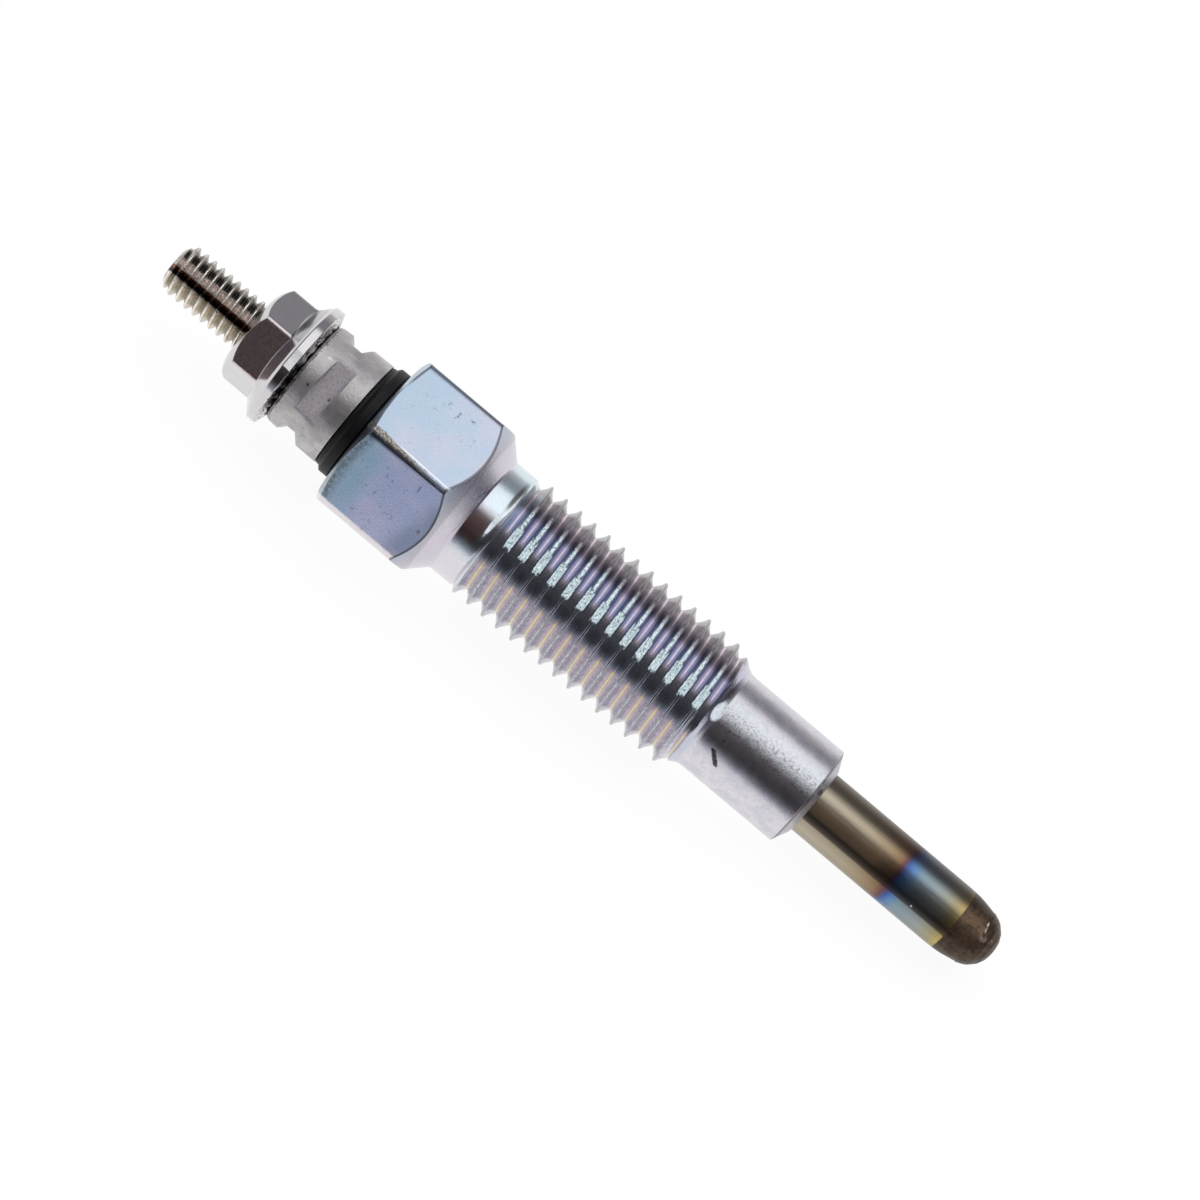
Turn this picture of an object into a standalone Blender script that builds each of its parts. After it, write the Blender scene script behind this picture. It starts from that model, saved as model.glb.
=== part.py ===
"""Diesel glow plug: M4 terminal, 12 mm hexagon, M10 x 1.25 housing and a metal sheath.

Lengths are in metres and angles in degrees. Each piece is made round its own Z axis, with
Z running from the terminal towards the tip, and stands on the plug's axis at its station,
the distance of its terminal end from the end of the stud. The plug then lies down as it
comes to rest: on the lowest flat of the hexagon and on the last full crest of its thread.
"""

import math

import bmesh
import bpy
import numpy as np

# Gaps between pieces that touch on the real plug
SEAT_GAP = 0.00008
FIT_GAP = 0.00006

# Terminal stud, an M4 x 0.7 thread rolled on the centre rod
STUD_RADIUS = 0.00193
STUD_ROOT_RADIUS = 0.00158
STUD_PITCH = 0.0007
STUD_CREST_FLAT = 0.0001
STUD_CREST_STATION = 0.00039
STUD_END_RADIUS = 0.00132
STUD_CHAMFER = 0.0006
STUD_SHOWS = 0.00668

# Centre rod below its thread
ROD_LOWER_RADIUS = 0.0017
ROD_END_RADIUS = 0.00115
ROD_STEP_LENGTH = 0.0006
ROD_IN_TUBE = 0.0095
SPIGOT_LENGTH = 0.0011

# Flange nut with a serrated foot
NUT_FLATS = 0.0068
NUT_HEIGHT = 0.00448
NUT_CROWN_RADIUS = 0.0026
NUT_CROWN_HEIGHT = 0.0009
NUT_CROWN_CURVE = 1.66
NUT_TURN = -20.2
FLANGE_RADIUS = 0.00476
FLANGE_TOP_RADIUS = 0.0031
FLANGE_CONE_HEIGHT = 0.0011
FLANGE_RIM_HEIGHT = 0.00068
FLANGE_FOOT_HEIGHT = 0.00025
FLANGE_RIM_ROUND = 0.00022
NUT_COUNTERSINK = 0.0004
NUT_FOOT_RADIUS = 0.0043
TOOTH_COUNT = 24
TOOTH_HEIGHT = 0.0002
TOOTH_LAND = 3.0

# Crimped sleeve: two square flats on its faces and two sloped ones on its sides
SLEEVE_LENGTH = 0.00443
SLEEVE_TOP_RADIUS = 0.00399
SLEEVE_FOOT_RADIUS = 0.00415
SLEEVE_CHAMFER = 0.0003
CRIMP_RADIUS = 0.00345
CRIMP_STATION = 0.00139
FACE_CRIMP_LENGTH = 0.0015
FACE_CRIMP_SLOPE = 80.0
SIDE_CRIMP_LENGTH = 0.00091
SIDE_CRIMP_SLOPE = 55.0
CRIMP_TURN = 30.0

# Insulating washer with a spigot in the housing's mouth
WASHER_OVERHANG = 0.00025
WASHER_THICKNESS = 0.00117
WASHER_STEP_INSET = 0.00004
WASHER_STEP = 0.00025
WASHER_CHAMFER = 0.00025
SPIGOT_WALL = 0.00128
SPIGOT_DEPTH = 0.0011

# Housing, turned from hexagon bar
HEX_FLATS = 0.01178
HEX_LENGTH = 0.00775
HEX_TOP_RADIUS = 0.00465
HEX_TOP_CHAMFER = 21.0
HEX_CONE_SLOPE = 45.0
NECK_RADIUS = 0.00456
NECK_LENGTH = 0.00182
THREAD_RADIUS = 0.00486
THREAD_ROOT_RADIUS = 0.00414
THREAD_PITCH = 0.00125
THREAD_CREST_FLAT = 0.00016
THREAD_CREST_STATION = 0.01155
THREAD_LENGTH = 0.0193
THREAD_RUN_IN = 0.0011
THREAD_RUN_OUT = 0.00125
THREAD_STEP = 0.0001
SHANK_RADIUS = 0.00384
SHANK_LENGTH = 0.00805
SEAT_CONE_SLOPE = 60.0
SEAT_END_RADIUS = 0.00264
MOUTH_DEPTH = 0.0025
MOUTH_CHAMFER = 0.0002

# Glow tube, a sheath pressed into the housing and swaged at its tip
TUBE_RADIUS = 0.0024
TUBE_WALL = 0.00055
TUBE_SHOWS = 0.01555
TUBE_IN_HOUSING = 0.0181
SWAGE_RADIUS = 0.00216
SWAGE_LENGTH = 0.0018
DOME_LENGTH = 0.0016
TIP_WALL = 0.0011
SEAL_LENGTH = 0.0018
SEAL_STATION = 0.0002

# Coils in the tube
COIL_RADIUS = 0.001
CONTROL_WIRE_RADIUS = 0.0002
CONTROL_PITCH = 0.0015
CONTROL_TURNS = 7
HEATING_WIRE_RADIUS = 0.00017
HEATING_PITCH = 0.0012
COIL_END_GAP = 0.0003
CHANNEL_OVERRUN = 1

# Facets in a full turn
THREAD_FACETS = 30
STUD_FACETS = 16
HOUSING_FACETS = 30
SMALL_FACETS = 28
COIL_FACETS = 8
RING_FACETS = 8
SMOOTH_BELOW = 32.0

# Stations along the plug, each measured from the end of the stud
NUT_AT = STUD_SHOWS
SLEEVE_AT = NUT_AT + NUT_HEIGHT + SEAT_GAP
WASHER_AT = SLEEVE_AT + SLEEVE_LENGTH + SEAT_GAP
HOUSING_AT = WASHER_AT + WASHER_THICKNESS + SEAT_GAP

# Stations along the housing, each measured from its terminal end
CONE_LENGTH = (HEX_FLATS / 2 - NECK_RADIUS) / math.tan(math.radians(HEX_CONE_SLOPE))
THREAD_AT = HEX_LENGTH + CONE_LENGTH + NECK_LENGTH
THREAD_END = THREAD_AT + THREAD_LENGTH
SEAT_AT = THREAD_END + SHANK_LENGTH
SEAT_LENGTH = (SHANK_RADIUS - SEAT_END_RADIUS) / math.tan(math.radians(SEAT_CONE_SLOPE))
HOUSING_LENGTH = SEAT_AT + SEAT_LENGTH

# The tube and what it holds
TUBE_AT = HOUSING_AT + HOUSING_LENGTH - TUBE_IN_HOUSING
TUBE_LENGTH = TUBE_IN_HOUSING + TUBE_SHOWS
TUBE_BORE = TUBE_RADIUS - TUBE_WALL
TIP_AT = TUBE_AT + TUBE_LENGTH
SEAL_AT = TUBE_AT + SEAL_STATION
FILLING_AT = SEAL_AT + SEAL_LENGTH + SEAT_GAP
FILLING_END = TIP_AT - TIP_WALL - SEAT_GAP
ROD_LENGTH = TUBE_AT + ROD_IN_TUBE
SPIGOT_RADIUS = COIL_RADIUS - CONTROL_WIRE_RADIUS - FIT_GAP
CONTROL_AT = ROD_LENGTH + SEAT_GAP + CONTROL_WIRE_RADIUS
HEATING_AT = CONTROL_AT + CONTROL_PITCH * CONTROL_TURNS + COIL_END_GAP
HEATING_ROOM = TIP_AT - DOME_LENGTH - HEATING_AT
HEATING_TURNS = math.floor(HEATING_ROOM / HEATING_PITCH * COIL_FACETS) / COIL_FACETS

# The housing's mouth, and the ring in it
MOUTH_RADIUS = STUD_RADIUS + FIT_GAP + SPIGOT_WALL + FIT_GAP
RING_WIRE_RADIUS = (MOUTH_RADIUS - STUD_RADIUS) / 2 - FIT_GAP
RING_RADIUS = (MOUTH_RADIUS + STUD_RADIUS) / 2
RING_AT = HOUSING_AT + SPIGOT_DEPTH + SEAT_GAP + RING_WIRE_RADIUS

for old in list(bpy.data.objects):
    bpy.data.objects.remove(old, do_unlink=True)


def new_collection(name, hidden):
    group = bpy.data.collections.new(name)
    bpy.context.scene.collection.children.link(group)
    group.hide_render = hidden
    return group


PIECES = new_collection("diesel_glow_plug", False)
CUTTERS = new_collection("cutters", True)


def material(name, colour, roughness, metallic):
    made = bpy.data.materials.new(name)
    made.use_nodes = True
    shader = made.node_tree.nodes["Principled BSDF"]
    shader.inputs["Base Color"].default_value = (*colour, 1.0)
    shader.inputs["Roughness"].default_value = roughness
    shader.inputs["Metallic"].default_value = metallic
    made.diffuse_color = (*colour, 1.0)
    return made


def tool(mesh_or_curve, name):
    """A shape that cuts, joins or trims a piece. It never shows."""
    made = bpy.data.objects.new(name, mesh_or_curve)
    CUTTERS.objects.link(made)
    made.hide_render = True
    made.display_type = "WIRE"
    return made


def evaluated_mesh(source):
    """The mesh that an object's modifiers, or its curve's bevel, give."""
    bpy.context.view_layer.update()
    graph = bpy.context.evaluated_depsgraph_get()
    return bpy.data.meshes.new_from_object(source.evaluated_get(graph), depsgraph=graph)


def lathe(name, outline, facets):
    """Turns an outline of (radius, height) points round the Z axis."""
    following = outline[1:] + outline[:1]
    area = sum(r0 * z1 - r1 * z0 for (r0, z0), (r1, z1) in zip(outline, following))
    points = outline[::-1] if area > 0 else outline
    edges = [(i, i + 1) for i in range(len(points) - 1)]
    if outline[0][0] > 0:
        edges.append((len(points) - 1, 0))
    profile = bpy.data.meshes.new(name)
    profile.from_pydata([(r, 0.0, z) for r, z in points], edges, [])
    made = tool(profile, name)
    turn = made.modifiers.new("turn", "SCREW")
    turn.axis = "Z"
    turn.steps = turn.render_steps = facets
    turn.use_merge_vertices = True
    turn.merge_threshold = 1e-6
    return made


def arc(centre_r, centre_z, radius_r, radius_z, start, end, steps):
    """Points on an elliptic arc, from one angle to another, 0 pointing outwards."""
    angles = [math.radians(start + (end - start) * i / steps) for i in range(steps + 1)]
    return [(centre_r + radius_r * math.cos(a), centre_z + radius_z * math.sin(a)) for a in angles]


def helical_thread(name, crest, root, pitch, crest_flat, crest_at, ends, low, high, facets):
    """A right-handed 60 degree thread as one closed solid between two heights.

    crest_at is the height of a crest at angle zero. low and high hold (height, radius)
    points, and the thread stays between them where it runs in and out.
    """
    flank = (crest - root) * math.tan(math.radians(30))
    first = crest_at - pitch * (math.ceil((crest_at - ends[0]) / pitch) + 1)
    heights = (crest_flat, 0.0, -flank, crest_flat + flank - pitch, crest_flat - pitch)
    radii = (crest, crest, root, root, crest)
    profile = bpy.data.meshes.new(name)
    profile.from_pydata(
        [(r, 0.0, first - crest_flat / 2 + z) for r, z in zip(radii, heights)],
        [(i, i + 1) for i in range(len(radii) - 1)],
        [],
    )
    made = tool(profile, name)
    turn = made.modifiers.new("turn", "SCREW")
    turn.axis = "Z"
    turn.steps = turn.render_steps = facets
    turn.screw_offset = pitch
    turn.iterations = math.ceil((ends[1] - first) / pitch) + 2
    helix = evaluated_mesh(made)
    made.modifiers.clear()
    shape = bmesh.new()
    shape.from_mesh(helix)
    bmesh.ops.remove_doubles(shape, verts=shape.verts[:], dist=1e-6)
    for height, outward in zip(ends, (-1.0, 1.0)):
        bmesh.ops.bisect_plane(
            shape,
            geom=shape.verts[:] + shape.edges[:] + shape.faces[:],
            dist=1e-7,
            plane_co=(0.0, 0.0, height),
            plane_no=(0.0, 0.0, outward),
            clear_outer=True,
        )
    for vertex in shape.verts:
        radius = vertex.co.xy.length
        floor = np.interp(vertex.co.z, *zip(*low))
        ceiling = np.interp(vertex.co.z, *zip(*high))
        vertex.co.xy *= min(max(radius, floor), ceiling) / radius
    rims = [edge for edge in shape.edges if edge.is_boundary]
    bmesh.ops.holes_fill(shape, edges=rims, sides=0)
    bmesh.ops.recalc_face_normals(shape, faces=shape.faces[:])
    shape.to_mesh(helix)
    shape.free()
    made.data = helix
    return made


def hexagon_bar(name, flats, start, end, turn):
    """Six-sided bar with a flat facing +X, then turned about its axis."""
    mesh = bpy.data.meshes.new(name)
    shape = bmesh.new()
    corner = flats / 2 / math.cos(math.radians(30))
    bmesh.ops.create_cone(
        shape, cap_ends=True, segments=6, radius1=corner, radius2=corner, depth=end - start
    )
    shape.to_mesh(mesh)
    shape.free()
    made = tool(mesh, name)
    made.location.z = (start + end) / 2
    made.rotation_euler.z = math.radians(turn)
    return made


def shaped_by(target, operation, other):
    step = target.modifiers.new(f"{operation.lower()} {other.name}", "BOOLEAN")
    step.operation = operation
    step.solver = "EXACT"
    step.object = other


def piece(source, name, look, station):
    """Makes the finished solid of a piece and stands it on the plug's axis."""
    mesh = evaluated_mesh(source)
    mesh.transform(source.matrix_world)
    mesh.name = name
    mesh.materials.clear()
    mesh.materials.append(look)
    mesh.shade_smooth()
    mesh.set_sharp_from_angle(angle=math.radians(SMOOTH_BELOW))
    made = bpy.data.objects.new(name, mesh)
    PIECES.objects.link(made)
    made.location.z = station
    return made


def rod_end_outline(gap, start):
    """The rod's end in the tube from a station on, larger by the gap all round."""
    return [
        (ROD_END_RADIUS + gap, start),
        (ROD_END_RADIUS + gap, ROD_LENGTH + gap),
        (SPIGOT_RADIUS + gap, ROD_LENGTH + gap),
        (SPIGOT_RADIUS + gap, ROD_LENGTH + SPIGOT_LENGTH + gap),
        (0.0, ROD_LENGTH + SPIGOT_LENGTH + gap),
    ]


def make_centre_rod(look):
    """One steel rod: rolled M4 thread, shank, and a stepped end that carries the coil."""
    thread_end = SLEEVE_AT + SLEEVE_CHAMFER
    mouth_end = HOUSING_AT + MOUTH_DEPTH
    tube_step = TUBE_AT - ROD_STEP_LENGTH
    outline = [
        (0.0, thread_end),
        (STUD_RADIUS, thread_end),
        (STUD_RADIUS, mouth_end),
        (ROD_LOWER_RADIUS, mouth_end + ROD_STEP_LENGTH),
        (ROD_LOWER_RADIUS, tube_step - ROD_STEP_LENGTH),
        *rod_end_outline(0.0, tube_step),
    ]
    rod = lathe("rod blank", outline, SMALL_FACETS)
    limits = [
        (0.0, STUD_END_RADIUS),
        (STUD_CHAMFER, STUD_RADIUS),
        (thread_end, STUD_RADIUS),
        (thread_end + FIT_GAP, STUD_ROOT_RADIUS),
    ]
    thread = helical_thread(
        "stud thread",
        STUD_RADIUS,
        STUD_ROOT_RADIUS,
        STUD_PITCH,
        STUD_CREST_FLAT,
        STUD_CREST_STATION,
        (0.0, thread_end + STUD_PITCH),
        [(0.0, 0.0), (thread_end, 0.0)],
        limits,
        STUD_FACETS,
    )
    shaped_by(rod, "UNION", thread)
    return piece(rod, "centre_rod", look, 0.0)


def make_terminal_nut(look):
    """Flange nut: domed hexagon, conical flange and radial serrations on its foot."""
    corner = NUT_FLATS / 2 / math.cos(math.radians(30)) + SEAT_GAP
    rim_end = NUT_HEIGHT - FLANGE_FOOT_HEIGHT
    rim_at = rim_end - FLANGE_RIM_HEIGHT
    flange_at = rim_at - FLANGE_CONE_HEIGHT
    shares = [0.0, 0.3, 0.55, 0.78, 1.0]
    dome = corner - NUT_CROWN_RADIUS
    crown = [
        (0.0, 0.0),
        *((NUT_CROWN_RADIUS + dome * s, NUT_CROWN_HEIGHT * s**NUT_CROWN_CURVE) for s in shares),
        (corner, NUT_HEIGHT),
        (0.0, NUT_HEIGHT),
    ]
    nut = hexagon_bar("nut hexagon", NUT_FLATS, -SEAT_GAP, rim_at, NUT_TURN)
    shaped_by(nut, "INTERSECT", lathe("nut crown", crown, SMALL_FACETS))
    flange = [
        (0.0, flange_at),
        (FLANGE_TOP_RADIUS, flange_at),
        *arc(
            FLANGE_RADIUS - FLANGE_RIM_ROUND,
            rim_at + FLANGE_RIM_ROUND,
            FLANGE_RIM_ROUND,
            FLANGE_RIM_ROUND,
            -60,
            0,
            2,
        ),
        (FLANGE_RADIUS, rim_end),
        (NUT_FOOT_RADIUS, NUT_HEIGHT),
        (0.0, NUT_HEIGHT),
    ]
    shaped_by(nut, "UNION", lathe("nut flange", flange, HOUSING_FACETS))
    bore = STUD_RADIUS + FIT_GAP
    mouth = bore + NUT_COUNTERSINK
    hole = [
        (0.0, -SEAT_GAP),
        (mouth + SEAT_GAP, -SEAT_GAP),
        (bore, NUT_COUNTERSINK),
        (bore, NUT_HEIGHT - NUT_COUNTERSINK),
        (mouth + SEAT_GAP, NUT_HEIGHT + SEAT_GAP),
        (0.0, NUT_HEIGHT + SEAT_GAP),
    ]
    shaped_by(nut, "DIFFERENCE", lathe("nut bore", hole, SMALL_FACETS))
    shaped_by(nut, "DIFFERENCE", serrations())
    return piece(nut, "terminal_nut", look, NUT_AT)


def serrations():
    """Radial V grooves across the nut's foot, widening outwards."""
    mesh = bpy.data.meshes.new("serrations")
    shape = bmesh.new()
    half_angle = math.radians(180 / TOOTH_COUNT - TOOTH_LAND / 2)
    inner, outer = STUD_RADIUS, FLANGE_RADIUS + TOOTH_HEIGHT
    foot = NUT_HEIGHT + TOOTH_HEIGHT
    for tooth in range(TOOTH_COUNT):
        middle = 2 * math.pi * tooth / TOOTH_COUNT
        corners = []
        for radius, depth in ((inner, 0.0), (outer, TOOTH_HEIGHT)):
            side = radius * math.tan(half_angle) * 2
            root = NUT_HEIGHT - depth * radius / FLANGE_RADIUS
            for along, height in ((-side, foot), (side, foot), (0.0, root)):
                x = radius * math.cos(middle) - along * math.sin(middle)
                y = radius * math.sin(middle) + along * math.cos(middle)
                corners.append(shape.verts.new((x, y, height)))
        bmesh.ops.convex_hull(shape, input=corners)
    bmesh.ops.recalc_face_normals(shape, faces=shape.faces[:])
    shape.to_mesh(mesh)
    shape.free()
    return tool(mesh, "serrations")


def make_crimp_sleeve(look):
    """Thick sleeve pressed on the rod by four flats, two square and two sloped at their ends."""
    bore = STUD_RADIUS + FIT_GAP
    flat_end = CRIMP_STATION + SIDE_CRIMP_LENGTH
    outline = [
        (bore, 0.0),
        (SLEEVE_TOP_RADIUS - SLEEVE_CHAMFER, 0.0),
        (SLEEVE_TOP_RADIUS, SLEEVE_CHAMFER),
        (SLEEVE_TOP_RADIUS, CRIMP_STATION),
        (SLEEVE_FOOT_RADIUS, flat_end),
        (SLEEVE_FOOT_RADIUS, SLEEVE_LENGTH - SLEEVE_CHAMFER / 2),
        (SLEEVE_FOOT_RADIUS - SLEEVE_CHAMFER / 2, SLEEVE_LENGTH),
        (bore, SLEEVE_LENGTH),
    ]
    sleeve = lathe("sleeve blank", outline, HOUSING_FACETS)
    reach = SLEEVE_FOOT_RADIUS - CRIMP_RADIUS + SLEEVE_CHAMFER
    face = (FACE_CRIMP_LENGTH, FACE_CRIMP_SLOPE)
    side = (SIDE_CRIMP_LENGTH, SIDE_CRIMP_SLOPE)
    for count, (length, slope) in enumerate((face, side, face, side)):
        spread = reach / math.tan(math.radians(slope))
        mesh = bpy.data.meshes.new("crimp")
        shape = bmesh.new()
        bmesh.ops.create_cube(shape, size=1.0)
        for vertex in shape.verts:
            outer = vertex.co.x > 0
            end = length / 2 + (spread if outer else 0.0)
            vertex.co.x = CRIMP_RADIUS + (reach if outer else 0.0)
            vertex.co.y *= 2 * SLEEVE_FOOT_RADIUS
            vertex.co.z = CRIMP_STATION + length / 2 + math.copysign(end, vertex.co.z)
        shape.to_mesh(mesh)
        shape.free()
        press = tool(mesh, f"crimp {count + 1}")
        press.rotation_euler.z = math.radians(CRIMP_TURN + 90 * count)
        shaped_by(sleeve, "DIFFERENCE", press)
    return piece(sleeve, "crimp_sleeve", look, SLEEVE_AT)


def make_insulating_washer(look):
    """Moulded washer whose spigot centres the rod in the housing's mouth."""
    bore = STUD_RADIUS + FIT_GAP
    rim = SLEEVE_FOOT_RADIUS + WASHER_OVERHANG
    step = SLEEVE_FOOT_RADIUS - WASHER_STEP_INSET
    spigot_end = WASHER_THICKNESS + SEAT_GAP + SPIGOT_DEPTH
    outline = [
        (bore, 0.0),
        (step, 0.0),
        (step, WASHER_STEP),
        (rim, WASHER_STEP + WASHER_CHAMFER),
        (rim, WASHER_THICKNESS),
        (bore + SPIGOT_WALL, WASHER_THICKNESS),
        (bore + SPIGOT_WALL, spigot_end),
        (bore, spigot_end),
    ]
    return piece(
        lathe("washer blank", outline, HOUSING_FACETS), "insulating_washer", look, WASHER_AT
    )


def make_o_ring(look):
    """Rubber ring squeezed between the rod and the housing's mouth."""
    outline = arc(RING_RADIUS, 0.0, RING_WIRE_RADIUS, RING_WIRE_RADIUS, 0, 360, RING_FACETS)[:-1]
    return piece(lathe("ring section", outline, SMALL_FACETS), "o_ring", look, RING_AT)


def thread_envelope():
    """Radii that the housing's thread stays under: its run-in, crests and run-out."""
    return [
        (THREAD_AT, NECK_RADIUS - THREAD_STEP),
        (THREAD_AT + THREAD_RUN_IN, THREAD_RADIUS),
        (THREAD_END - THREAD_RUN_OUT, THREAD_RADIUS),
        (THREAD_END, SHANK_RADIUS),
        (THREAD_END + THREAD_STEP * 2, SHANK_RADIUS - THREAD_STEP * 2),
    ]


def make_housing(look):
    """Turned hexagon bar with a rolled thread, bored for the rod and the tube."""
    corner = HEX_FLATS / 2 / math.cos(math.radians(30)) + SEAT_GAP
    top_chamfer = (corner - HEX_TOP_RADIUS) * math.tan(math.radians(HEX_TOP_CHAMFER))
    cone_rise = (corner - HEX_FLATS / 2) / math.tan(math.radians(HEX_CONE_SLOPE))
    core = THREAD_ROOT_RADIUS - FIT_GAP * 2
    outline = [
        (0.0, 0.0),
        (HEX_TOP_RADIUS, 0.0),
        (corner, top_chamfer),
        (corner, HEX_LENGTH - cone_rise),
        (NECK_RADIUS, HEX_LENGTH + CONE_LENGTH),
        (NECK_RADIUS, THREAD_AT),
        (min(core, SHANK_RADIUS), THREAD_AT),
        (min(core, SHANK_RADIUS), THREAD_END),
        (SHANK_RADIUS, THREAD_END),
        (SHANK_RADIUS, SEAT_AT),
        (SEAT_END_RADIUS, HOUSING_LENGTH),
        (0.0, HOUSING_LENGTH),
    ]
    if core >= SHANK_RADIUS:
        outline = [point for point in outline if point != (SHANK_RADIUS, THREAD_END)]
    housing = lathe("housing blank", outline, HOUSING_FACETS)
    bar = hexagon_bar("housing hexagon", HEX_FLATS, -SEAT_GAP, HOUSING_LENGTH + SEAT_GAP, 0.0)
    shaped_by(housing, "INTERSECT", bar)
    thread = helical_thread(
        "housing thread",
        THREAD_RADIUS,
        THREAD_ROOT_RADIUS,
        THREAD_PITCH,
        THREAD_CREST_FLAT,
        THREAD_CREST_STATION,
        (THREAD_AT - THREAD_STEP * 4, THREAD_END + THREAD_STEP * 2),
        [(THREAD_AT, NECK_RADIUS - THREAD_STEP), (THREAD_AT + THREAD_RUN_IN, THREAD_ROOT_RADIUS)],
        thread_envelope(),
        THREAD_FACETS,
    )
    shaped_by(housing, "UNION", thread)
    bore = TUBE_RADIUS + FIT_GAP
    slope = (MOUTH_RADIUS - bore) / 2
    hole = [
        (0.0, -SEAT_GAP * 2),
        (MOUTH_RADIUS + MOUTH_CHAMFER + SEAT_GAP * 2, -SEAT_GAP * 2),
        (MOUTH_RADIUS, MOUTH_CHAMFER),
        (MOUTH_RADIUS, MOUTH_DEPTH),
        (bore, MOUTH_DEPTH + slope),
        (bore, HOUSING_LENGTH + SEAT_GAP * 2),
        (0.0, HOUSING_LENGTH + SEAT_GAP * 2),
    ]
    shaped_by(housing, "DIFFERENCE", lathe("housing bore", hole, HOUSING_FACETS))
    return piece(housing, "housing", look, HOUSING_AT)


def tip_outline(radius, swage_radius, end, dome):
    """Straight wall, swaged taper and elliptic dome, to the axis at the end."""
    swage_end = end - dome
    taper = [
        (radius + (swage_radius - radius) * (i / 3) ** 2, swage_end - SWAGE_LENGTH * (1 - i / 3))
        for i in range(3)
    ]
    curve = arc(0.0, swage_end, swage_radius, dome, 0, 90, 5)
    return taper + curve[:-1] + [(0.0, end)]


def make_glow_tube(look):
    """Drawn sheath, open inside the housing and closed by a swaged and welded tip."""
    inner = tip_outline(
        TUBE_BORE, SWAGE_RADIUS - TUBE_WALL, TUBE_LENGTH - TIP_WALL, DOME_LENGTH - TUBE_WALL
    )
    outer = tip_outline(TUBE_RADIUS, SWAGE_RADIUS, TUBE_LENGTH, DOME_LENGTH)
    outline = inner[::-1] + [(TUBE_BORE, 0.0), (TUBE_RADIUS, 0.0)] + outer
    return piece(lathe("tube blank", outline, SMALL_FACETS), "glow_tube", look, TUBE_AT)


def make_tube_seal(look):
    """Rubber bush that keeps the powder dry at the tube's open end."""
    inner = ROD_END_RADIUS + FIT_GAP
    outer = TUBE_BORE - FIT_GAP
    outline = [(inner, 0.0), (outer, 0.0), (outer, SEAL_LENGTH), (inner, SEAL_LENGTH)]
    return piece(lathe("seal section", outline, SMALL_FACETS), "tube_seal", look, SEAL_AT)


def coil_wire(name, wire_radius, pitch, turns, overrun, turned):
    """A wound wire as a closed solid, longer by some steps of its winding at each end."""
    steps = round(turns * COIL_FACETS)
    curve = bpy.data.curves.new(name, "CURVE")
    curve.dimensions = "3D"
    curve.bevel_depth = wire_radius
    curve.bevel_resolution = 1
    curve.use_fill_caps = True
    wire = curve.splines.new("POLY")
    wire.points.add(steps + 2 * overrun)
    for i, point in enumerate(wire.points, -overrun):
        turn = turns * i / steps
        angle = 2 * math.pi * (turn + turned)
        point.co = (
            COIL_RADIUS * math.cos(angle),
            COIL_RADIUS * math.sin(angle),
            pitch * turn,
            1.0,
        )
    guide = tool(curve, f"{name} path")
    mesh = evaluated_mesh(guide)
    shape = bmesh.new()
    shape.from_mesh(mesh)
    bmesh.ops.remove_doubles(shape, verts=shape.verts[:], dist=1e-7)
    bmesh.ops.recalc_face_normals(shape, faces=shape.faces[:])
    shape.to_mesh(mesh)
    shape.free()
    made = tool(mesh, name)
    made.matrix_world = guide.matrix_world
    bpy.data.objects.remove(guide)
    return made


def control_wire_shape(name, gap, overrun):
    radius = CONTROL_WIRE_RADIUS + gap
    return coil_wire(name, radius, CONTROL_PITCH, CONTROL_TURNS, overrun, 0.0)


def heating_wire_shape(name, gap, overrun):
    radius = HEATING_WIRE_RADIUS + gap
    return coil_wire(name, radius, HEATING_PITCH, HEATING_TURNS, overrun, CONTROL_TURNS)


def make_control_coil(look):
    """Regulating coil, from the rod's spigot on."""
    wire = control_wire_shape("control wire", 0.0, 0)
    return piece(wire, "control_coil", look, CONTROL_AT)


def make_heating_coil(look):
    """Heating coil, from the end of the control coil to the tip."""
    wire = heating_wire_shape("heating wire", 0.0, 0)
    return piece(wire, "heating_coil", look, HEATING_AT)


def make_magnesia_filling(look):
    """Powder swaged solid round the rod's end and both coils."""
    length = FILLING_END - FILLING_AT
    swage_radius = SWAGE_RADIUS - TUBE_WALL - FIT_GAP
    outer = tip_outline(TUBE_BORE - FIT_GAP, swage_radius, length, DOME_LENGTH - TUBE_WALL)
    outline = [(0.0, 0.0), (TUBE_BORE - FIT_GAP, 0.0)] + outer
    filling = lathe("filling blank", outline, SMALL_FACETS)
    channel_start = FILLING_AT - SEAL_LENGTH
    rod_hole = [(0.0, channel_start), *rod_end_outline(FIT_GAP, channel_start)]
    rod = lathe("rod channel", rod_hole, SMALL_FACETS)
    rod.location.z = -FILLING_AT
    shaped_by(filling, "DIFFERENCE", rod)
    for shape_of, station in (
        (control_wire_shape, CONTROL_AT),
        (heating_wire_shape, HEATING_AT),
    ):
        channel = shape_of("coil channel", FIT_GAP, CHANNEL_OVERRUN)
        channel.location.z = station - FILLING_AT
        shaped_by(filling, "DIFFERENCE", channel)
    return piece(filling, "magnesia_filling", look, FILLING_AT)


def rest_tilt():
    """Angle at which the hexagon's edge and a crest of the thread both touch the ground."""
    stations, radii = zip(*thread_envelope())
    tilt = math.radians(90)
    for crest in np.arange(THREAD_CREST_STATION, THREAD_END, THREAD_PITCH):
        for station in (crest - THREAD_CREST_FLAT / 2, crest + THREAD_CREST_FLAT / 2):
            radius = np.interp(station, stations, radii)
            tilt = min(tilt, math.atan2(HEX_FLATS / 2 - radius, station - HEX_LENGTH))
    return tilt


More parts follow.
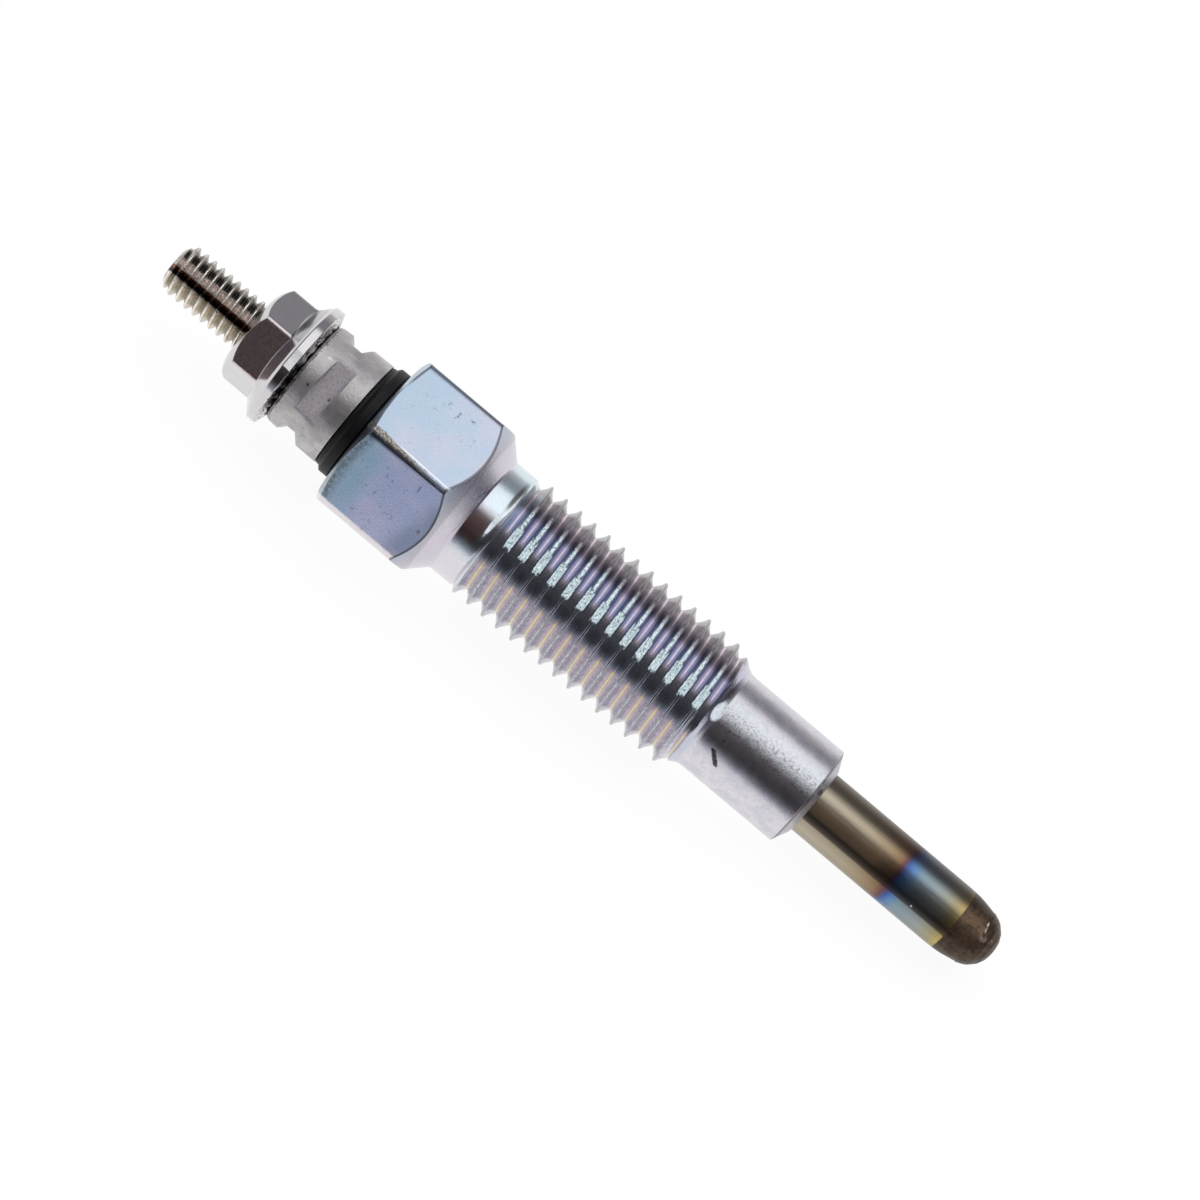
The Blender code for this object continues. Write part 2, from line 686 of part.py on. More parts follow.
def lay_down(pieces):
    """Parents the pieces to an empty on the plug's axis and lays the plug down."""
    tilt = rest_tilt()
    axis = bpy.data.objects.new("plug_axis", None)
    PIECES.objects.link(axis)
    for made in pieces:
        made.parent = axis
    edge = HOUSING_AT + HEX_LENGTH
    middle = (TIP_AT * math.cos(tilt) - STUD_END_RADIUS * math.sin(tilt)) / 2
    lowest = edge * math.sin(tilt) + HEX_FLATS / 2 * math.cos(tilt)
    axis.rotation_euler.y = math.radians(90) + tilt
    axis.location = (-middle, 0.0, lowest)
    bpy.context.view_layer.update()


bright_nickel = material("bright_nickel", (0.62, 0.6, 0.57), 0.2, 1.0)
rod_nickel = material("rod_nickel", (0.58, 0.53, 0.46), 0.28, 1.0)
matte_nickel = material("matte_nickel", (0.52, 0.5, 0.5), 0.5, 1.0)
black_insulator = material("black_insulator", (0.018, 0.018, 0.02), 0.45, 0.0)
black_rubber = material("black_rubber", (0.02, 0.02, 0.02), 0.7, 0.0)
blue_zinc = material("blue_zinc", (0.56, 0.6, 0.68), 0.3, 1.0)
heat_tinted_alloy = material("heat_tinted_alloy", (0.42, 0.36, 0.3), 0.35, 1.0)
control_wire = material("control_wire", (0.5, 0.48, 0.46), 0.35, 1.0)
heating_wire = material("heating_wire", (0.4, 0.39, 0.38), 0.45, 1.0)
magnesia = material("magnesia", (0.82, 0.81, 0.78), 0.9, 0.0)

lay_down(
    [
        make_centre_rod(rod_nickel),
        make_terminal_nut(bright_nickel),
        make_crimp_sleeve(matte_nickel),
        make_insulating_washer(black_insulator),
        make_o_ring(black_rubber),
        make_housing(blue_zinc),
        make_glow_tube(heat_tinted_alloy),
        make_tube_seal(black_rubber),
        make_control_coil(control_wire),
        make_heating_coil(heating_wire),
        make_magnesia_filling(magnesia),
    ]
)
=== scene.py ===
"""A diesel glow plug lying on a pale table. Sizes are in millimetres and angles in degrees.

Stations run along the plug's axis from the end of its stud towards the heating tip.
Round the axis, 0 points down at the table, 90 away from the viewer and 180 up.
"""

import math

import bmesh
import bpy
import numpy as np
from mathutils import Matrix, Vector


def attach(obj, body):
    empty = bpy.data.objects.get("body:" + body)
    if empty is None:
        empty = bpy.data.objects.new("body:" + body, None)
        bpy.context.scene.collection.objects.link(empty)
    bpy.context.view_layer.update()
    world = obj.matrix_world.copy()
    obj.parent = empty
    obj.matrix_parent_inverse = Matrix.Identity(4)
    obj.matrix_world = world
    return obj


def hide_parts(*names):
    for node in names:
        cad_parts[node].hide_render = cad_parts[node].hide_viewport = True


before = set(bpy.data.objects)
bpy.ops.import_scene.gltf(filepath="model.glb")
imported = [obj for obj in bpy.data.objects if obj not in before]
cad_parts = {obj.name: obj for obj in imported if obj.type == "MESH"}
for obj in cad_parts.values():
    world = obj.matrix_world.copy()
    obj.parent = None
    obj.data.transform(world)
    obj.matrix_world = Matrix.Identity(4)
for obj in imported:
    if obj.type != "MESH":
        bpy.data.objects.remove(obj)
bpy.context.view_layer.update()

# Centre rod: one steel pin with a rolled M4 x 0.7 thread, nickel plated. Its lower end
# steps down into the heating tube, where it carries the coils.
REST_TILT = 2.8228655
STUD_END = Vector((-0.035671, 0.0, 0.007102))
PLUG = Matrix.Translation(STUD_END) @ Matrix.Rotation(math.radians(90 + REST_TILT), 4, "Y")
# Turns round the axis: towards the viewer, and to the sides that show lower and upper.
VIEWER_TURN = 210
LOWER_TURN = 300
UPPER_TURN = LOWER_TURN - 180
STUD_RADIUS = 1.93
STUD_PITCH = 0.7
STUD_CREST_AT = 0.39
STUD_END_RADIUS = 1.25
STUD_THREAD_END = 11.6
STUD_LIMIT_RADIUS = 1.96
STUD_TOOTH = [(0.0, 1.925), (0.05, 1.915), (0.09, 1.86), (0.27, 1.56), (0.31, 1.51), (0.35, 1.49)]
ROD_STEP_AT = 19.5
ROD_TAPER = 0.6
ROD_LOWER_RADIUS = 1.7
ROD_LOWER_END = 36.64
ROD_END_RADIUS = 1.15
ROD_LENGTH = 47.34
ROD_PIN_RADIUS = 0.74
ROD_PIN_LENGTH = 1.1


def rounded(outline, columns, steps=4):
    """Rows of radius and height along an outline whose corners are rounded.

    The outline holds (radius, height, rounding) for each corner. A radius or a height may
    differ from column to column round the piece. A rounding takes up at most 0.4 of the
    shorter side, and a row just outside it keeps the shading of the straight part flat.
    """
    spread = [np.stack([np.broadcast_to(v, columns).astype(float) for v in c[:2]]) for c in outline]
    rows = []
    for i, (here, (_, _, rounding)) in enumerate(zip(spread, outline)):
        if not rounding:
            rows.append(here)
            continue
        arms = [spread[i - 1] - here, spread[(i + 1) % len(spread)] - here]
        lengths = [np.maximum(np.linalg.norm(arm, axis=0), 1e-9) for arm in arms]
        arms = [arm / length for arm, length in zip(arms, lengths)]
        cosine = np.clip((arms[0] * arms[1]).sum(0), -0.9999, 0.9999)
        setback = rounding * np.sqrt((1 + cosine) / (1 - cosine))
        room = np.minimum(lengths[0], lengths[1])
        setback = np.minimum(np.maximum(setback, rounding / 4), room * 0.4)
        guard = np.minimum(setback * 1.35, room * 0.49)
        rows.append(here + arms[0] * guard)
        for share in np.linspace(0, 1, steps + 1):
            rows.append(here + (arms[0] * (1 - share) ** 2 + arms[1] * share**2) * setback)
        rows.append(here + arms[1] * guard)
    return np.array(rows)


def helix(angles, pitch, crest_at, tooth, ends, low, high):
    """Rows of radius and height on a right-handed thread between two heights.

    tooth holds (distance from the crest, radius) points, and low and high the (height,
    radius) points that the thread stays between. It starts and ends at a plain circle.
    """
    # Shares of a pitch, closer together where the profile bends most.
    half = np.array([0, 0.03, 0.06, 0.09, 0.12, 0.16, 0.21, 0.27, 0.33, 0.38, 0.42, 0.455, 0.48])
    offsets = np.sort(np.concatenate([half, 1 - half[:0:-1], [0.5]]))
    first = math.floor((ends[0] - crest_at) / pitch) - 2
    last = math.ceil((ends[1] - crest_at) / pitch) + 1
    phase = (np.arange(first, last)[:, None] + offsets[None, :]).ravel()
    # The mean of five places close together takes the sharpness off the profile.
    away = [np.abs(phase + s - np.round(phase + s)) * pitch for s in (-0.02, -0.01, 0, 0.01, 0.02)]
    radius = np.mean([np.interp(a, *zip(*tooth)) for a in away], axis=0)
    turned = crest_at + pitch * (phase[:, None] + np.degrees(angles)[None, :] / 360)
    height = np.clip(turned, *ends)
    softness = 0.02
    ceiling = np.interp(height, *zip(*high))
    radius = -softness * np.logaddexp(-radius[:, None] / softness, -ceiling / softness)
    radius = np.maximum(radius, np.interp(height, *zip(*low)))
    run_in = 0.12
    near = np.minimum(height - ends[0], ends[1] - height)
    edge = np.where(height < sum(ends) / 2, high[0][1], high[-1][1])
    return np.stack([edge + (radius - edge) * np.clip(near / run_in, 0, 1), height], axis=1)


def solid(name, slot, angles, *grids):
    """Makes a piece from rows of (radius, height) in millimetres round the plug's axis."""
    mesh = bpy.data.meshes.new(name)
    shape = bmesh.new()
    for grid in grids:
        points = np.empty((len(grid), len(angles), 3))
        points[:, :, 0] = grid[:, 0] * np.cos(angles)
        points[:, :, 1] = grid[:, 0] * np.sin(angles)
        points[:, :, 2] = grid[:, 1]
        rows = [[shape.verts.new(PLUG @ Vector(p / 1000)) for p in row] for row in points]
        for low, high in zip(rows, rows[1:]):
            for i in range(len(angles) - 1):
                shape.faces.new((low[i], low[i + 1], high[i + 1], high[i]))
    # Joins each row's two ends, the rows of different grids, and points on the axis.
    bmesh.ops.remove_doubles(shape, verts=shape.verts[:], dist=4e-7)
    bmesh.ops.recalc_face_normals(shape, faces=shape.faces[:])
    shape.to_mesh(mesh)
    shape.free()
    mesh.shade_smooth()
    mesh.set_sharp_from_angle(angle=math.radians(40))
    made = bpy.data.objects.new(name, mesh)
    bpy.context.scene.collection.objects.link(made)
    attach(made, "root")
    return made


class Signal:
    """A number, colour or vector in a shader. Arithmetic on numbers adds Math nodes."""

    def __init__(self, tree, socket):
        self.tree = tree
        self.socket = socket

    def node(self, kind, settings, sockets, output=0):
        """Adds a node, makes its settings, then gives its sockets their values or links.

        A ramp's stops are a setting: a list of places from 0 to 1 and their colours.
        """
        made = self.tree.nodes.new("ShaderNode" + kind)
        for key, value in settings.items():
            if key == "stops":
                made.color_ramp.elements.remove(made.color_ramp.elements[1])
                for place, colour in value:
                    stop = made.color_ramp.elements.new(place)
                    stop.color = (*colour, 1.0)
                made.color_ramp.elements.remove(made.color_ramp.elements[0])
            else:
                setattr(made, key, value)
        for key, value in sockets.items():
            if isinstance(value, Signal):
                self.tree.links.new(value.socket, made.inputs[key])
            else:
                made.inputs[key].default_value = value
        return Signal(self.tree, made.outputs[output] if made.outputs else None)

    def math(self, operation, *others):
        """Adds a Math node that takes this number first."""
        return self.node("Math", {"operation": operation}, dict(enumerate((self, *others))))

    def larger(self, other):
        return self.math("MAXIMUM", other)

    def smaller(self, other):
        return self.math("MINIMUM", other)

    def __add__(self, other):
        return self.math("ADD", other)

    def __sub__(self, other):
        return self.math("SUBTRACT", other)

    def __rsub__(self, other):
        return self.node("Math", {"operation": "SUBTRACT"}, {0: other, 1: self})

    def __mul__(self, other):
        return self.math("MULTIPLY", other)

    def __abs__(self):
        return self.math("ABSOLUTE")

    __radd__ = __add__
    __rmul__ = __mul__


def new_finish(name):
    """A new material, and the place on the plug in millimetres, with Z along its axis."""
    made = bpy.data.materials.new(name)
    made.use_nodes = True
    made.node_tree.nodes.clear()
    start = Signal(made.node_tree, None)
    lying = {"Location": STUD_END, "Rotation": PLUG.to_euler(), "Scale": (0.001, 0.001, 0.001)}
    place = start.node("TexCoord", {}, {}, "Object")
    return made, place.node("Mapping", {"vector_type": "TEXTURE"}, {"Vector": place, **lying})


def put_on(made, pieces, place, sockets):
    """Ends a material with its Principled shader and gives it to the pieces."""
    shader = place.node("BsdfPrincipled", {}, sockets)
    shader.node("OutputMaterial", {}, {"Surface": shader})
    for piece in pieces:
        piece.data.materials.clear()
        piece.data.materials.append(made)


def noise(place, scale, detail=2.0, roughness=0.5, stretch=(1, 1, 1)):
    """Cloudy noise about 0.5, its scale in cycles a millimetre."""
    if stretch != (1, 1, 1):
        place = place.node("VectorMath", {"operation": "MULTIPLY"}, {0: place, 1: stretch})
    sockets = {"Vector": place, "Scale": scale, "Detail": detail, "Roughness": roughness}
    return place.node("TexNoise", {}, sockets)


def fade(value, start, end):
    """0 up to start, 1 from end on, and a soft step between."""
    sockets = {"Value": value, 1: min(start, end), 2: max(start, end)}
    if start > end:
        sockets.update({3: 1.0, 4: 0.0})
    return value.node("MapRange", {"interpolation_type": "SMOOTHSTEP"}, sockets)


def band(value, start, full, last, end):
    """1 between full and last, with soft steps down to 0 at start and at end."""
    return fade(value, start, full) * fade(value, end, last)


def ragged(value, cloud, amount):
    """The value moved to and fro by a noise, so that an edge on it turns ragged."""
    return value + (cloud - 0.5) * amount


def blend(factor, first, second):
    """The first colour where the factor is 0 and the second where it is 1."""
    sides = [(*c, 1.0) if isinstance(c, tuple) else c for c in (first, second)]
    sockets = {0: factor, 6: sides[0], 7: sides[1]}
    return factor.node("Mix", {"data_type": "RGBA"}, sockets, 2)


def painted(colour, *coats):
    """The colour under coats laid one over the other, each as where it lies and its colour."""
    for where, coat in coats:
        colour = blend(where, colour, coat)
    return colour


def bump(place, height, depth, outward=None):
    """Surface relief from a height of 0 to 1, its depth in millimetres."""
    sockets = {"Height": height, "Distance": depth / 1000, "Strength": 1.0}
    if outward is not None:
        sockets["Normal"] = outward
    return place.node("Bump", {}, sockets)


def outwards(turn):
    """The direction square to the plug's axis at this turn round it."""
    return Vector((math.cos(math.radians(turn)), math.sin(math.radians(turn)), 0.0))


class Places:
    """Where a point lies on the plug, in millimetres.

    along is its station, lower its place towards the side that shows lower in the
    picture, front its height towards the viewer, and radius its distance from the axis.
    turn is its place round the axis, as a share of a full turn.
    """

    def __init__(self, place):
        parts = place.node("SeparateXYZ", {}, {"Vector": place}).socket.node.outputs
        x, y, self.along = (Signal(place.tree, part) for part in parts)
        down, near = outwards(LOWER_TURN), outwards(VIEWER_TURN)
        self.lower = x * down.x + y * down.y
        self.front = x * near.x + y * near.y
        self.radius = (x * x + y * y).math("SQRT")
        self.turn = y.math("ARCTAN2", x) * (0.5 / math.pi)

    def from_crest(self, crest_at, pitch):
        """0 on a thread's crest and 0.5 at its root."""
        turns = (self.along - crest_at) * (1 / pitch) - self.turn
        return turns.math("PINGPONG", 0.5)

    def spot(self, along, lower, length, width, soft=0.3):
        """1 on a spot on the side that faces the viewer, 0 outside it."""
        x = (self.along - along) * (1 / length)
        y = (self.lower - lower) * (1 / width)
        away = (x * x + y * y).math("SQRT")
        return fade(away, 1.0 + soft, 1.0 - soft) * fade(self.front, 0.2, 0.6)

    def spots(self, soft, *each):
        """1 on any of some spots, each as its station, lower place, length and width."""
        found = self.spot(*each[0], soft)
        for one in each[1:]:
            found = found.larger(self.spot(*one, soft))
        return found


stud_angles = np.radians(np.linspace(0, 360, 97))
stud_floor = [(0, 0.5), (STUD_THREAD_END - 0.3, 0.5), (STUD_THREAD_END, STUD_RADIUS)]
stud_ceiling = [
    (0, STUD_END_RADIUS),
    (0.04, 1.31),
    (0.12, 1.42),
    (0.55, 1.88),
    (0.8, STUD_LIMIT_RADIUS),
    (STUD_THREAD_END, STUD_LIMIT_RADIUS),
]
stud_thread = helix(
    stud_angles,
    STUD_PITCH,
    STUD_CREST_AT,
    STUD_TOOTH,
    (0.0, STUD_THREAD_END),
    stud_floor,
    stud_ceiling,
)
stud_face = [(0.0, 0.03, 0), (0.5, 0.02, 0), (1.1, 0.0, 0), (STUD_END_RADIUS, 0.0, 0)]
rod_outline = [
    (STUD_LIMIT_RADIUS, STUD_THREAD_END, 0),
    (STUD_RADIUS, STUD_THREAD_END + 0.1, 0),
    (STUD_RADIUS, ROD_STEP_AT, 0.3),
    (ROD_LOWER_RADIUS, ROD_STEP_AT + ROD_TAPER, 0.3),
    (ROD_LOWER_RADIUS, ROD_LOWER_END, 0.2),
    (ROD_END_RADIUS, ROD_LOWER_END + ROD_TAPER, 0.2),
    (ROD_END_RADIUS, ROD_LENGTH, 0.1),
    (ROD_PIN_RADIUS, ROD_LENGTH, 0.05),
    (ROD_PIN_RADIUS, ROD_LENGTH + ROD_PIN_LENGTH, 0.1),
    (0.0, ROD_LENGTH + ROD_PIN_LENGTH, 0),
]
centre_rod = solid(
    "threaded_centre_rod",
    "rod_nickel",
    stud_angles,
    rounded(stud_face, len(stud_angles)),
    stud_thread,
    rounded(rod_outline, len(stud_angles)),
)
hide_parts("centre_rod")

rod_finish, place = new_finish("warm_nickel_plate")
at = Places(place)
crest = at.from_crest(STUD_CREST_AT, STUD_PITCH)
grain = noise(place, 6.5, 3.0, 0.75)
wear = noise(place, 2.2, 3.0, 0.6)
viewed = fade(at.front, 0.2, 0.5)
plate = blend(fade(wear, 0.35, 0.7), (0.56, 0.50, 0.41), (0.74, 0.69, 0.60))
# From the upper edge down, painted light and shade: grey shaded crests, black shade in the
# roots, a bright speckled highlight, a dark reflection that turns brown, and grey shaded roots.
painted_upper_tip_shade = fade(ragged(at.lower, grain, 0.3), -1.3, -1.5)
painted_tip_grey = blend(fade(grain, 0.4, 0.6), (0.12, 0.115, 0.11), (0.36, 0.34, 0.32))
painted_root_slot_shade = fade(ragged(crest, grain, 0.16), 0.24, 0.34)
painted_root_slot_shade = painted_root_slot_shade * band(ragged(ragged(at.lower, wear, 0.5), grain, 0.3), -1.48, -1.25, -0.74, -0.52)
shaded = band(at.lower, -1.45, -1.2, -0.5, -0.4) * fade(crest, 0.10, 0.16) * viewed
painted_speckled_highlight = fade(ragged(at.lower, wear, 0.3), -0.78, -0.62)
painted_speckled_highlight = painted_speckled_highlight * fade(ragged(at.lower, grain, 0.5), 0.06, -0.06)
painted_speckled_highlight = painted_speckled_highlight * fade(at.front, 0.8, 1.0) * fade(grain, 0.42, 0.56)
painted_dark = fade(ragged(at.lower, grain, 0.3), -0.03, 0.06)
painted_dark = painted_dark * fade(ragged(at.lower, wear, 0.3), 0.66, 0.52) * fade(at.front, 0.6, 0.9)
to_brown = fade(ragged(at.lower, grain, 0.8), 0.35, 0.15)
painted_lower_root_shade = fade(at.lower, 0.5, 0.7) * fade(ragged(crest, grain, 0.2), 0.34, 0.44)
# Painted highlight: a bright line along the crests, away from the dark reflection.
painted_stud_crest_highlight = fade(crest, 0.09, 0.03) * (1 - painted_dark) * fade(grain, 0.36, 0.5)
# The plate's own colour, with the painted light and shade laid over it.
plate = painted(
    plate,
    (painted_root_slot_shade * viewed, (0.025, 0.022, 0.02)),
    (painted_upper_tip_shade * 0.75, painted_tip_grey),
    (shaded * 0.5, (0.16, 0.15, 0.14)),
    (painted_speckled_highlight, (1.0, 0.86, 0.80)),
    (painted_speckled_highlight * fade(wear, 0.52, 0.6) * 0.6, (0.22, 0.13, 0.11)),
    (painted_dark, blend(to_brown, (0.03, 0.028, 0.026), (0.30, 0.15, 0.10))),
    (painted_lower_root_shade * 0.7, (0.26, 0.235, 0.19)),
    (painted_stud_crest_highlight, (0.95, 0.93, 0.90)),
)
put_on(
    rod_finish,
    [centre_rod],
    place,
    {
        "Base Color": plate,
        "Metallic": 1.0 - painted_speckled_highlight * 0.85,
        "Roughness": 0.14 + grain * 0.14 + painted_speckled_highlight * 0.3,
        "Normal": bump(place, grain, 0.03),
    },
)

# Coils: the control and the heating wire, wound and welded in a line from the rod's end
# to the tip. They are drawn alloy wires, slightly blued by their first heating.
for name, dull, bright in (
    ("control_coil", (0.34, 0.32, 0.31), (0.56, 0.54, 0.51)),
    ("heating_coil", (0.22, 0.22, 0.27), (0.47, 0.45, 0.43)),
):
    wire_finish, place = new_finish(f"{name}_wire")
    streaks = noise(place, 3.0, 3.0, 0.6)
    put_on(
        wire_finish,
        [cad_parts[name]],
        place,
        {
            "Base Color": blend(fade(streaks, 0.35, 0.65), dull, bright),
            "Metallic": 1.0,
            "Roughness": 0.3 + streaks * 0.25,
            "Normal": bump(place, streaks, 0.01),
        },
    )

# Magnesia: white insulating powder that fills the tube round the coils. It is poured in
# and pressed solid when the tube is swaged.
powder_finish, place = new_finish("pressed_magnesia")
grains = noise(place, 14.0, 4.0, 0.7)
put_on(
    powder_finish,
    [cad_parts["magnesia_filling"]],
    place,
    {
        "Base Color": blend(grains, (0.66, 0.65, 0.62), (0.88, 0.87, 0.84)),
        "Roughness": 0.82 + grains * 0.15,
        "Normal": bump(place, grains, 0.03),
    },
)

# Rubber: the bush that keeps the powder dry and the ring that seals the housing's mouth,
# both moulded in matt black nitrile.
rubber_finish, place = new_finish("matt_rubber")
bloom = noise(place, 5.0, 4.0, 0.6)
put_on(
    rubber_finish,
    [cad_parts["tube_seal"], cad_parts["o_ring"]],
    place,
    {
        "Base Color": blend(bloom, (0.012, 0.012, 0.013), (0.04, 0.039, 0.038)),
        "Roughness": 0.6 + bloom * 0.25,
        "Normal": bump(place, bloom, 0.01),
    },
)

# Heating tube: a drawn nickel-alloy sheath, swaged at its tip and closed by a weld. Its
# first glow leaves straw, purple and blue tints and a brown scale on the tip.
TUBE_RADIUS = 2.378
TUBE_BORE = 1.85
TUBE_AT = 37.843
SWAGE_AT = 67.6
SWAGE_END_RADIUS = 2.085
WELD_AT = 69.98
TIP_AT = 71.49
SCALE_AT = 68.02
tube_angles = np.radians(np.linspace(0, 360, 129))
tube_outline = [
    (TUBE_BORE, TUBE_AT, 0),
    (TUBE_RADIUS, TUBE_AT, 0.1),
    (TUBE_RADIUS, SWAGE_AT, 0.5),
    (2.345, 68.4, 0.4),
    (2.27, 68.96, 0.4),
    (2.16, 69.5, 0.4),
    (SWAGE_END_RADIUS, WELD_AT - 0.1, 0.1),
    (2.1, WELD_AT - 0.01, 0.05),
    (2.05, WELD_AT + 0.12, 0.1),
    (1.93, 70.4, 0.3),
    (1.77, 70.68, 0.3),
    (1.29, 71.15, 0.3),
    (0.8, 71.39, 0.3),
    (0.35, TIP_AT - 0.02, 0.1),
    (0.0, TIP_AT, 0),
]
tube_inside = [
    (0.0, 70.39, 0),
    (0.9, 70.2, 0.2),
    (1.55, 69.4, 0.4),
    (TUBE_BORE, 68.1, 0.4),
    (TUBE_BORE, TUBE_AT, 0),
]
glow_tube = solid(
    "heating_tube",
    "heat_tinted_alloy",
    tube_angles,
    rounded(tube_outline, len(tube_angles)),
    rounded(tube_inside, len(tube_angles)),
)
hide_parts("glow_tube")


def ramp(value, low, high, stops):
    """Colours that follow a value from low to high. Each stop is a share and a colour."""
    return value.node("ValToRGB", {"stops": stops}, {"Fac": (value - low) * (1 / (high - low))})


# Along the tube to the brown tip: straw, brown, purple, blue, grey and gold.
TINTS_FROM = 56.4
TINTS_TO = 69.0
HEAT_TINTS = [
    (0.0, (0.50, 0.44, 0.34)),
    (0.28, (0.46, 0.39, 0.28)),
    (0.42, (0.38, 0.28, 0.17)),
    (0.50, (0.30, 0.19, 0.10)),
    (0.535, (0.17, 0.08, 0.09)),
    (0.555, (0.07, 0.13, 0.38)),
    (0.585, (0.12, 0.27, 0.52)),
    (0.63, (0.25, 0.35, 0.42)),
    (0.80, (0.35, 0.38, 0.35)),
    (0.88, (0.42, 0.36, 0.20)),
    (0.95, (0.60, 0.45, 0.13)),
    (1.0, (0.52, 0.38, 0.12)),
]
# How dark the painted shade and reflections are, from the tube's upper to its lower side.
PAINTED_SHADE_ACROSS = [
    (0.0, 0.82),
    (0.12, 0.74),
    (0.20, 0.66),
    (0.25, 0.36),
    (0.285, 0.08),
    (0.33, 0.0),
    (0.37, 0.22),
    (0.42, 0.55),
    (0.46, 0.2),
    (0.60, 0.3),
    (0.67, 0.85),
    (0.76, 0.85),
    (0.785, 0.2),
    (0.9, 0.0),
    (1.0, 0.35),
]
tint_finish, place = new_finish("heat_tinted_sheath")
at = Places(place)
cloud = noise(place, 0.5, 2.0)
mottle = noise(place, 3.0, 4.0, 0.6)
drawn = noise(place, 5.0, 2.0, 0.6, stretch=(1, 1, 0.12))
heated = ragged(at.along, cloud, 0.9) + at.lower * 0.05
across = ragged(at.lower, drawn, 0.12)
# Painted shade and dark reflections in bands across the tube, ragged by the drawn grain.
streaks = ramp(across, -2.4, 2.4, [(share, (painted_dark,) * 3) for share, painted_dark in PAINTED_SHADE_ACROSS])
# A painted lighter band, matt brown, across the dark reflection on the side in view.
painted_light_band = band(across, -0.45, -0.1, 0.55, 0.85) * fade(at.front, 0.5, 1.0) * fade(heated, 62.4, 61.0)
heat_tints_and_painted_shade = painted(
    ramp(heated, TINTS_FROM, TINTS_TO, HEAT_TINTS),
    (streaks, (0.045, 0.032, 0.026)),
    (at.spot(65.15, 1.14, 0.07, 0.06), (0.95, 0.93, 0.9)),
    (painted_light_band * 0.6, (0.40, 0.25, 0.14)),
)
# Brown oxide scale covers the swaged tip, with a painted highlight on its middle, flecks beyond the
# weld, a painted highlight along the weld and a pinkish spot below it.
scale = fade(ragged(at.along, mottle, 0.2), SCALE_AT, SCALE_AT + 0.1)
painted_tip_highlight = at.spot(69.2, -0.25, 1.3, 0.95, soft=0.7) * fade(mottle, 0.2, 0.55)
flecks = fade(drawn, 0.66, 0.74) * fade(at.along, 69.9, 70.2)
painted_weld_highlight = fade(abs(at.along - WELD_AT - (at.lower + 1.0) * 0.3), 0.07, 0.03)
painted_weld_highlight = painted_weld_highlight * at.spot(70.0, -1.0, 0.3, 0.36) * fade(mottle, 0.35, 0.5)
below_weld = at.spot(70.22, -0.28, 0.24, 0.22, soft=0.5) * fade(mottle, 0.3, 0.5)
oxide_and_painted_highlight = painted(
    blend(fade(mottle, 0.3, 0.7), (0.046, 0.030, 0.018), (0.115, 0.076, 0.047)),
    (painted_tip_highlight * 0.75, (0.28, 0.18, 0.11)),
    (flecks, (0.45, 0.40, 0.37)),
    (painted_weld_highlight, (0.95, 0.92, 0.88)),
    (below_weld, (0.62, 0.42, 0.38)),
)
put_on(
    tint_finish,
    [glow_tube],
    place,
    {
        "Base Color": blend(scale, heat_tints_and_painted_shade, oxide_and_painted_highlight),
        "Metallic": 0.88 - scale * 0.2 - painted_light_band * 0.22,
        "Roughness": 0.24 + drawn * 0.16 + scale * 0.1,
        "Normal": bump(place, mottle * (0.2 + scale * 0.5) + drawn * 0.4, 0.012),
    },
)

# Housing: turned from 12 mm hexagon bar, with a rolled M10 x 1.25 thread, a shank and a
# conical seat. It is zinc plated and passivated, which gives the pale blue rainbow sheen.
HOUSING_AT = 17.0
HEX_FLATS = 11.75
HEX_CORNER_ROUNDING = (0.66, 0.5)
HEX_TOP_RADIUS = 4.65
CHAMFER_AT = (5.45, 0.12)
CHAMFER_SLOPE = 0.43
CONE_END = 9.08
NECK_RADIUS = 4.55
THREAD_FROM = 10.05
THREAD_TO = 30.5
THREAD_PITCH = 1.25
THREAD_CREST_AT = 11.55
THREAD_LIMIT_RADIUS = 4.92
THREAD_TOOTH = [
    (0.0, 4.86),
    (0.08, 4.84),
    (0.127, 4.74),
    (0.174, 4.605),
    (0.294, 4.44),
    (0.435, 4.27),
    (0.548, 4.145),
    (0.625, 4.095),
]
SHANK_RADIUS = 3.83
SEAT_AT = 38.25
HOUSING_END = 38.82
SEAT_END_RADIUS = 2.64
HOUSING_BORE = 2.46
MOUTH_RADIUS = 3.33
MOUTH_DEPTH = 2.5


def hexagon_angles(turn, corner_share, flat_steps, corner_steps):
    """Angles round a hexagon, closer together at its corners, from 0 to a full turn."""
    edge = 30 * (1 - corner_share)
    flat = np.linspace(-edge, edge, flat_steps + 1)
    corner = np.linspace(edge, 60 - edge, corner_steps + 1)[1:-1]
    sector = np.concatenate([flat, corner])
    all_round = np.concatenate([sector + 60 * k + turn for k in range(6)]) % 360
    inside = all_round[(all_round > 0.2) & (all_round < 359.8)]
    return np.radians(np.concatenate([[0.0], np.sort(inside), [360.0]]))


def hexagon_radius(angles, flats, corner_rounding, turn):
    """Distance from the axis to a hexagon with rounded corners, at each angle."""
    apothem = flats / 2
    off = (np.degrees(angles) - turn + 30) % 60 - 30
    off = np.radians(np.abs(off))
    straight = apothem / np.cos(off)
    side = apothem - corner_rounding
    centre = np.array([side, side * math.tan(math.radians(30))])
    along_ray = centre[0] * np.cos(off) + centre[1] * np.sin(off)
    inner = np.maximum(along_ray**2 - (centre**2).sum() + corner_rounding**2, 0)
    return np.where(off > math.atan(centre[1] / apothem), along_ray + np.sqrt(inner), straight)


def shifted(rows, station):
    """Rows moved along the plug to the piece's own station."""
    rows = rows.copy()
    rows[:, 1] += station
    return rows


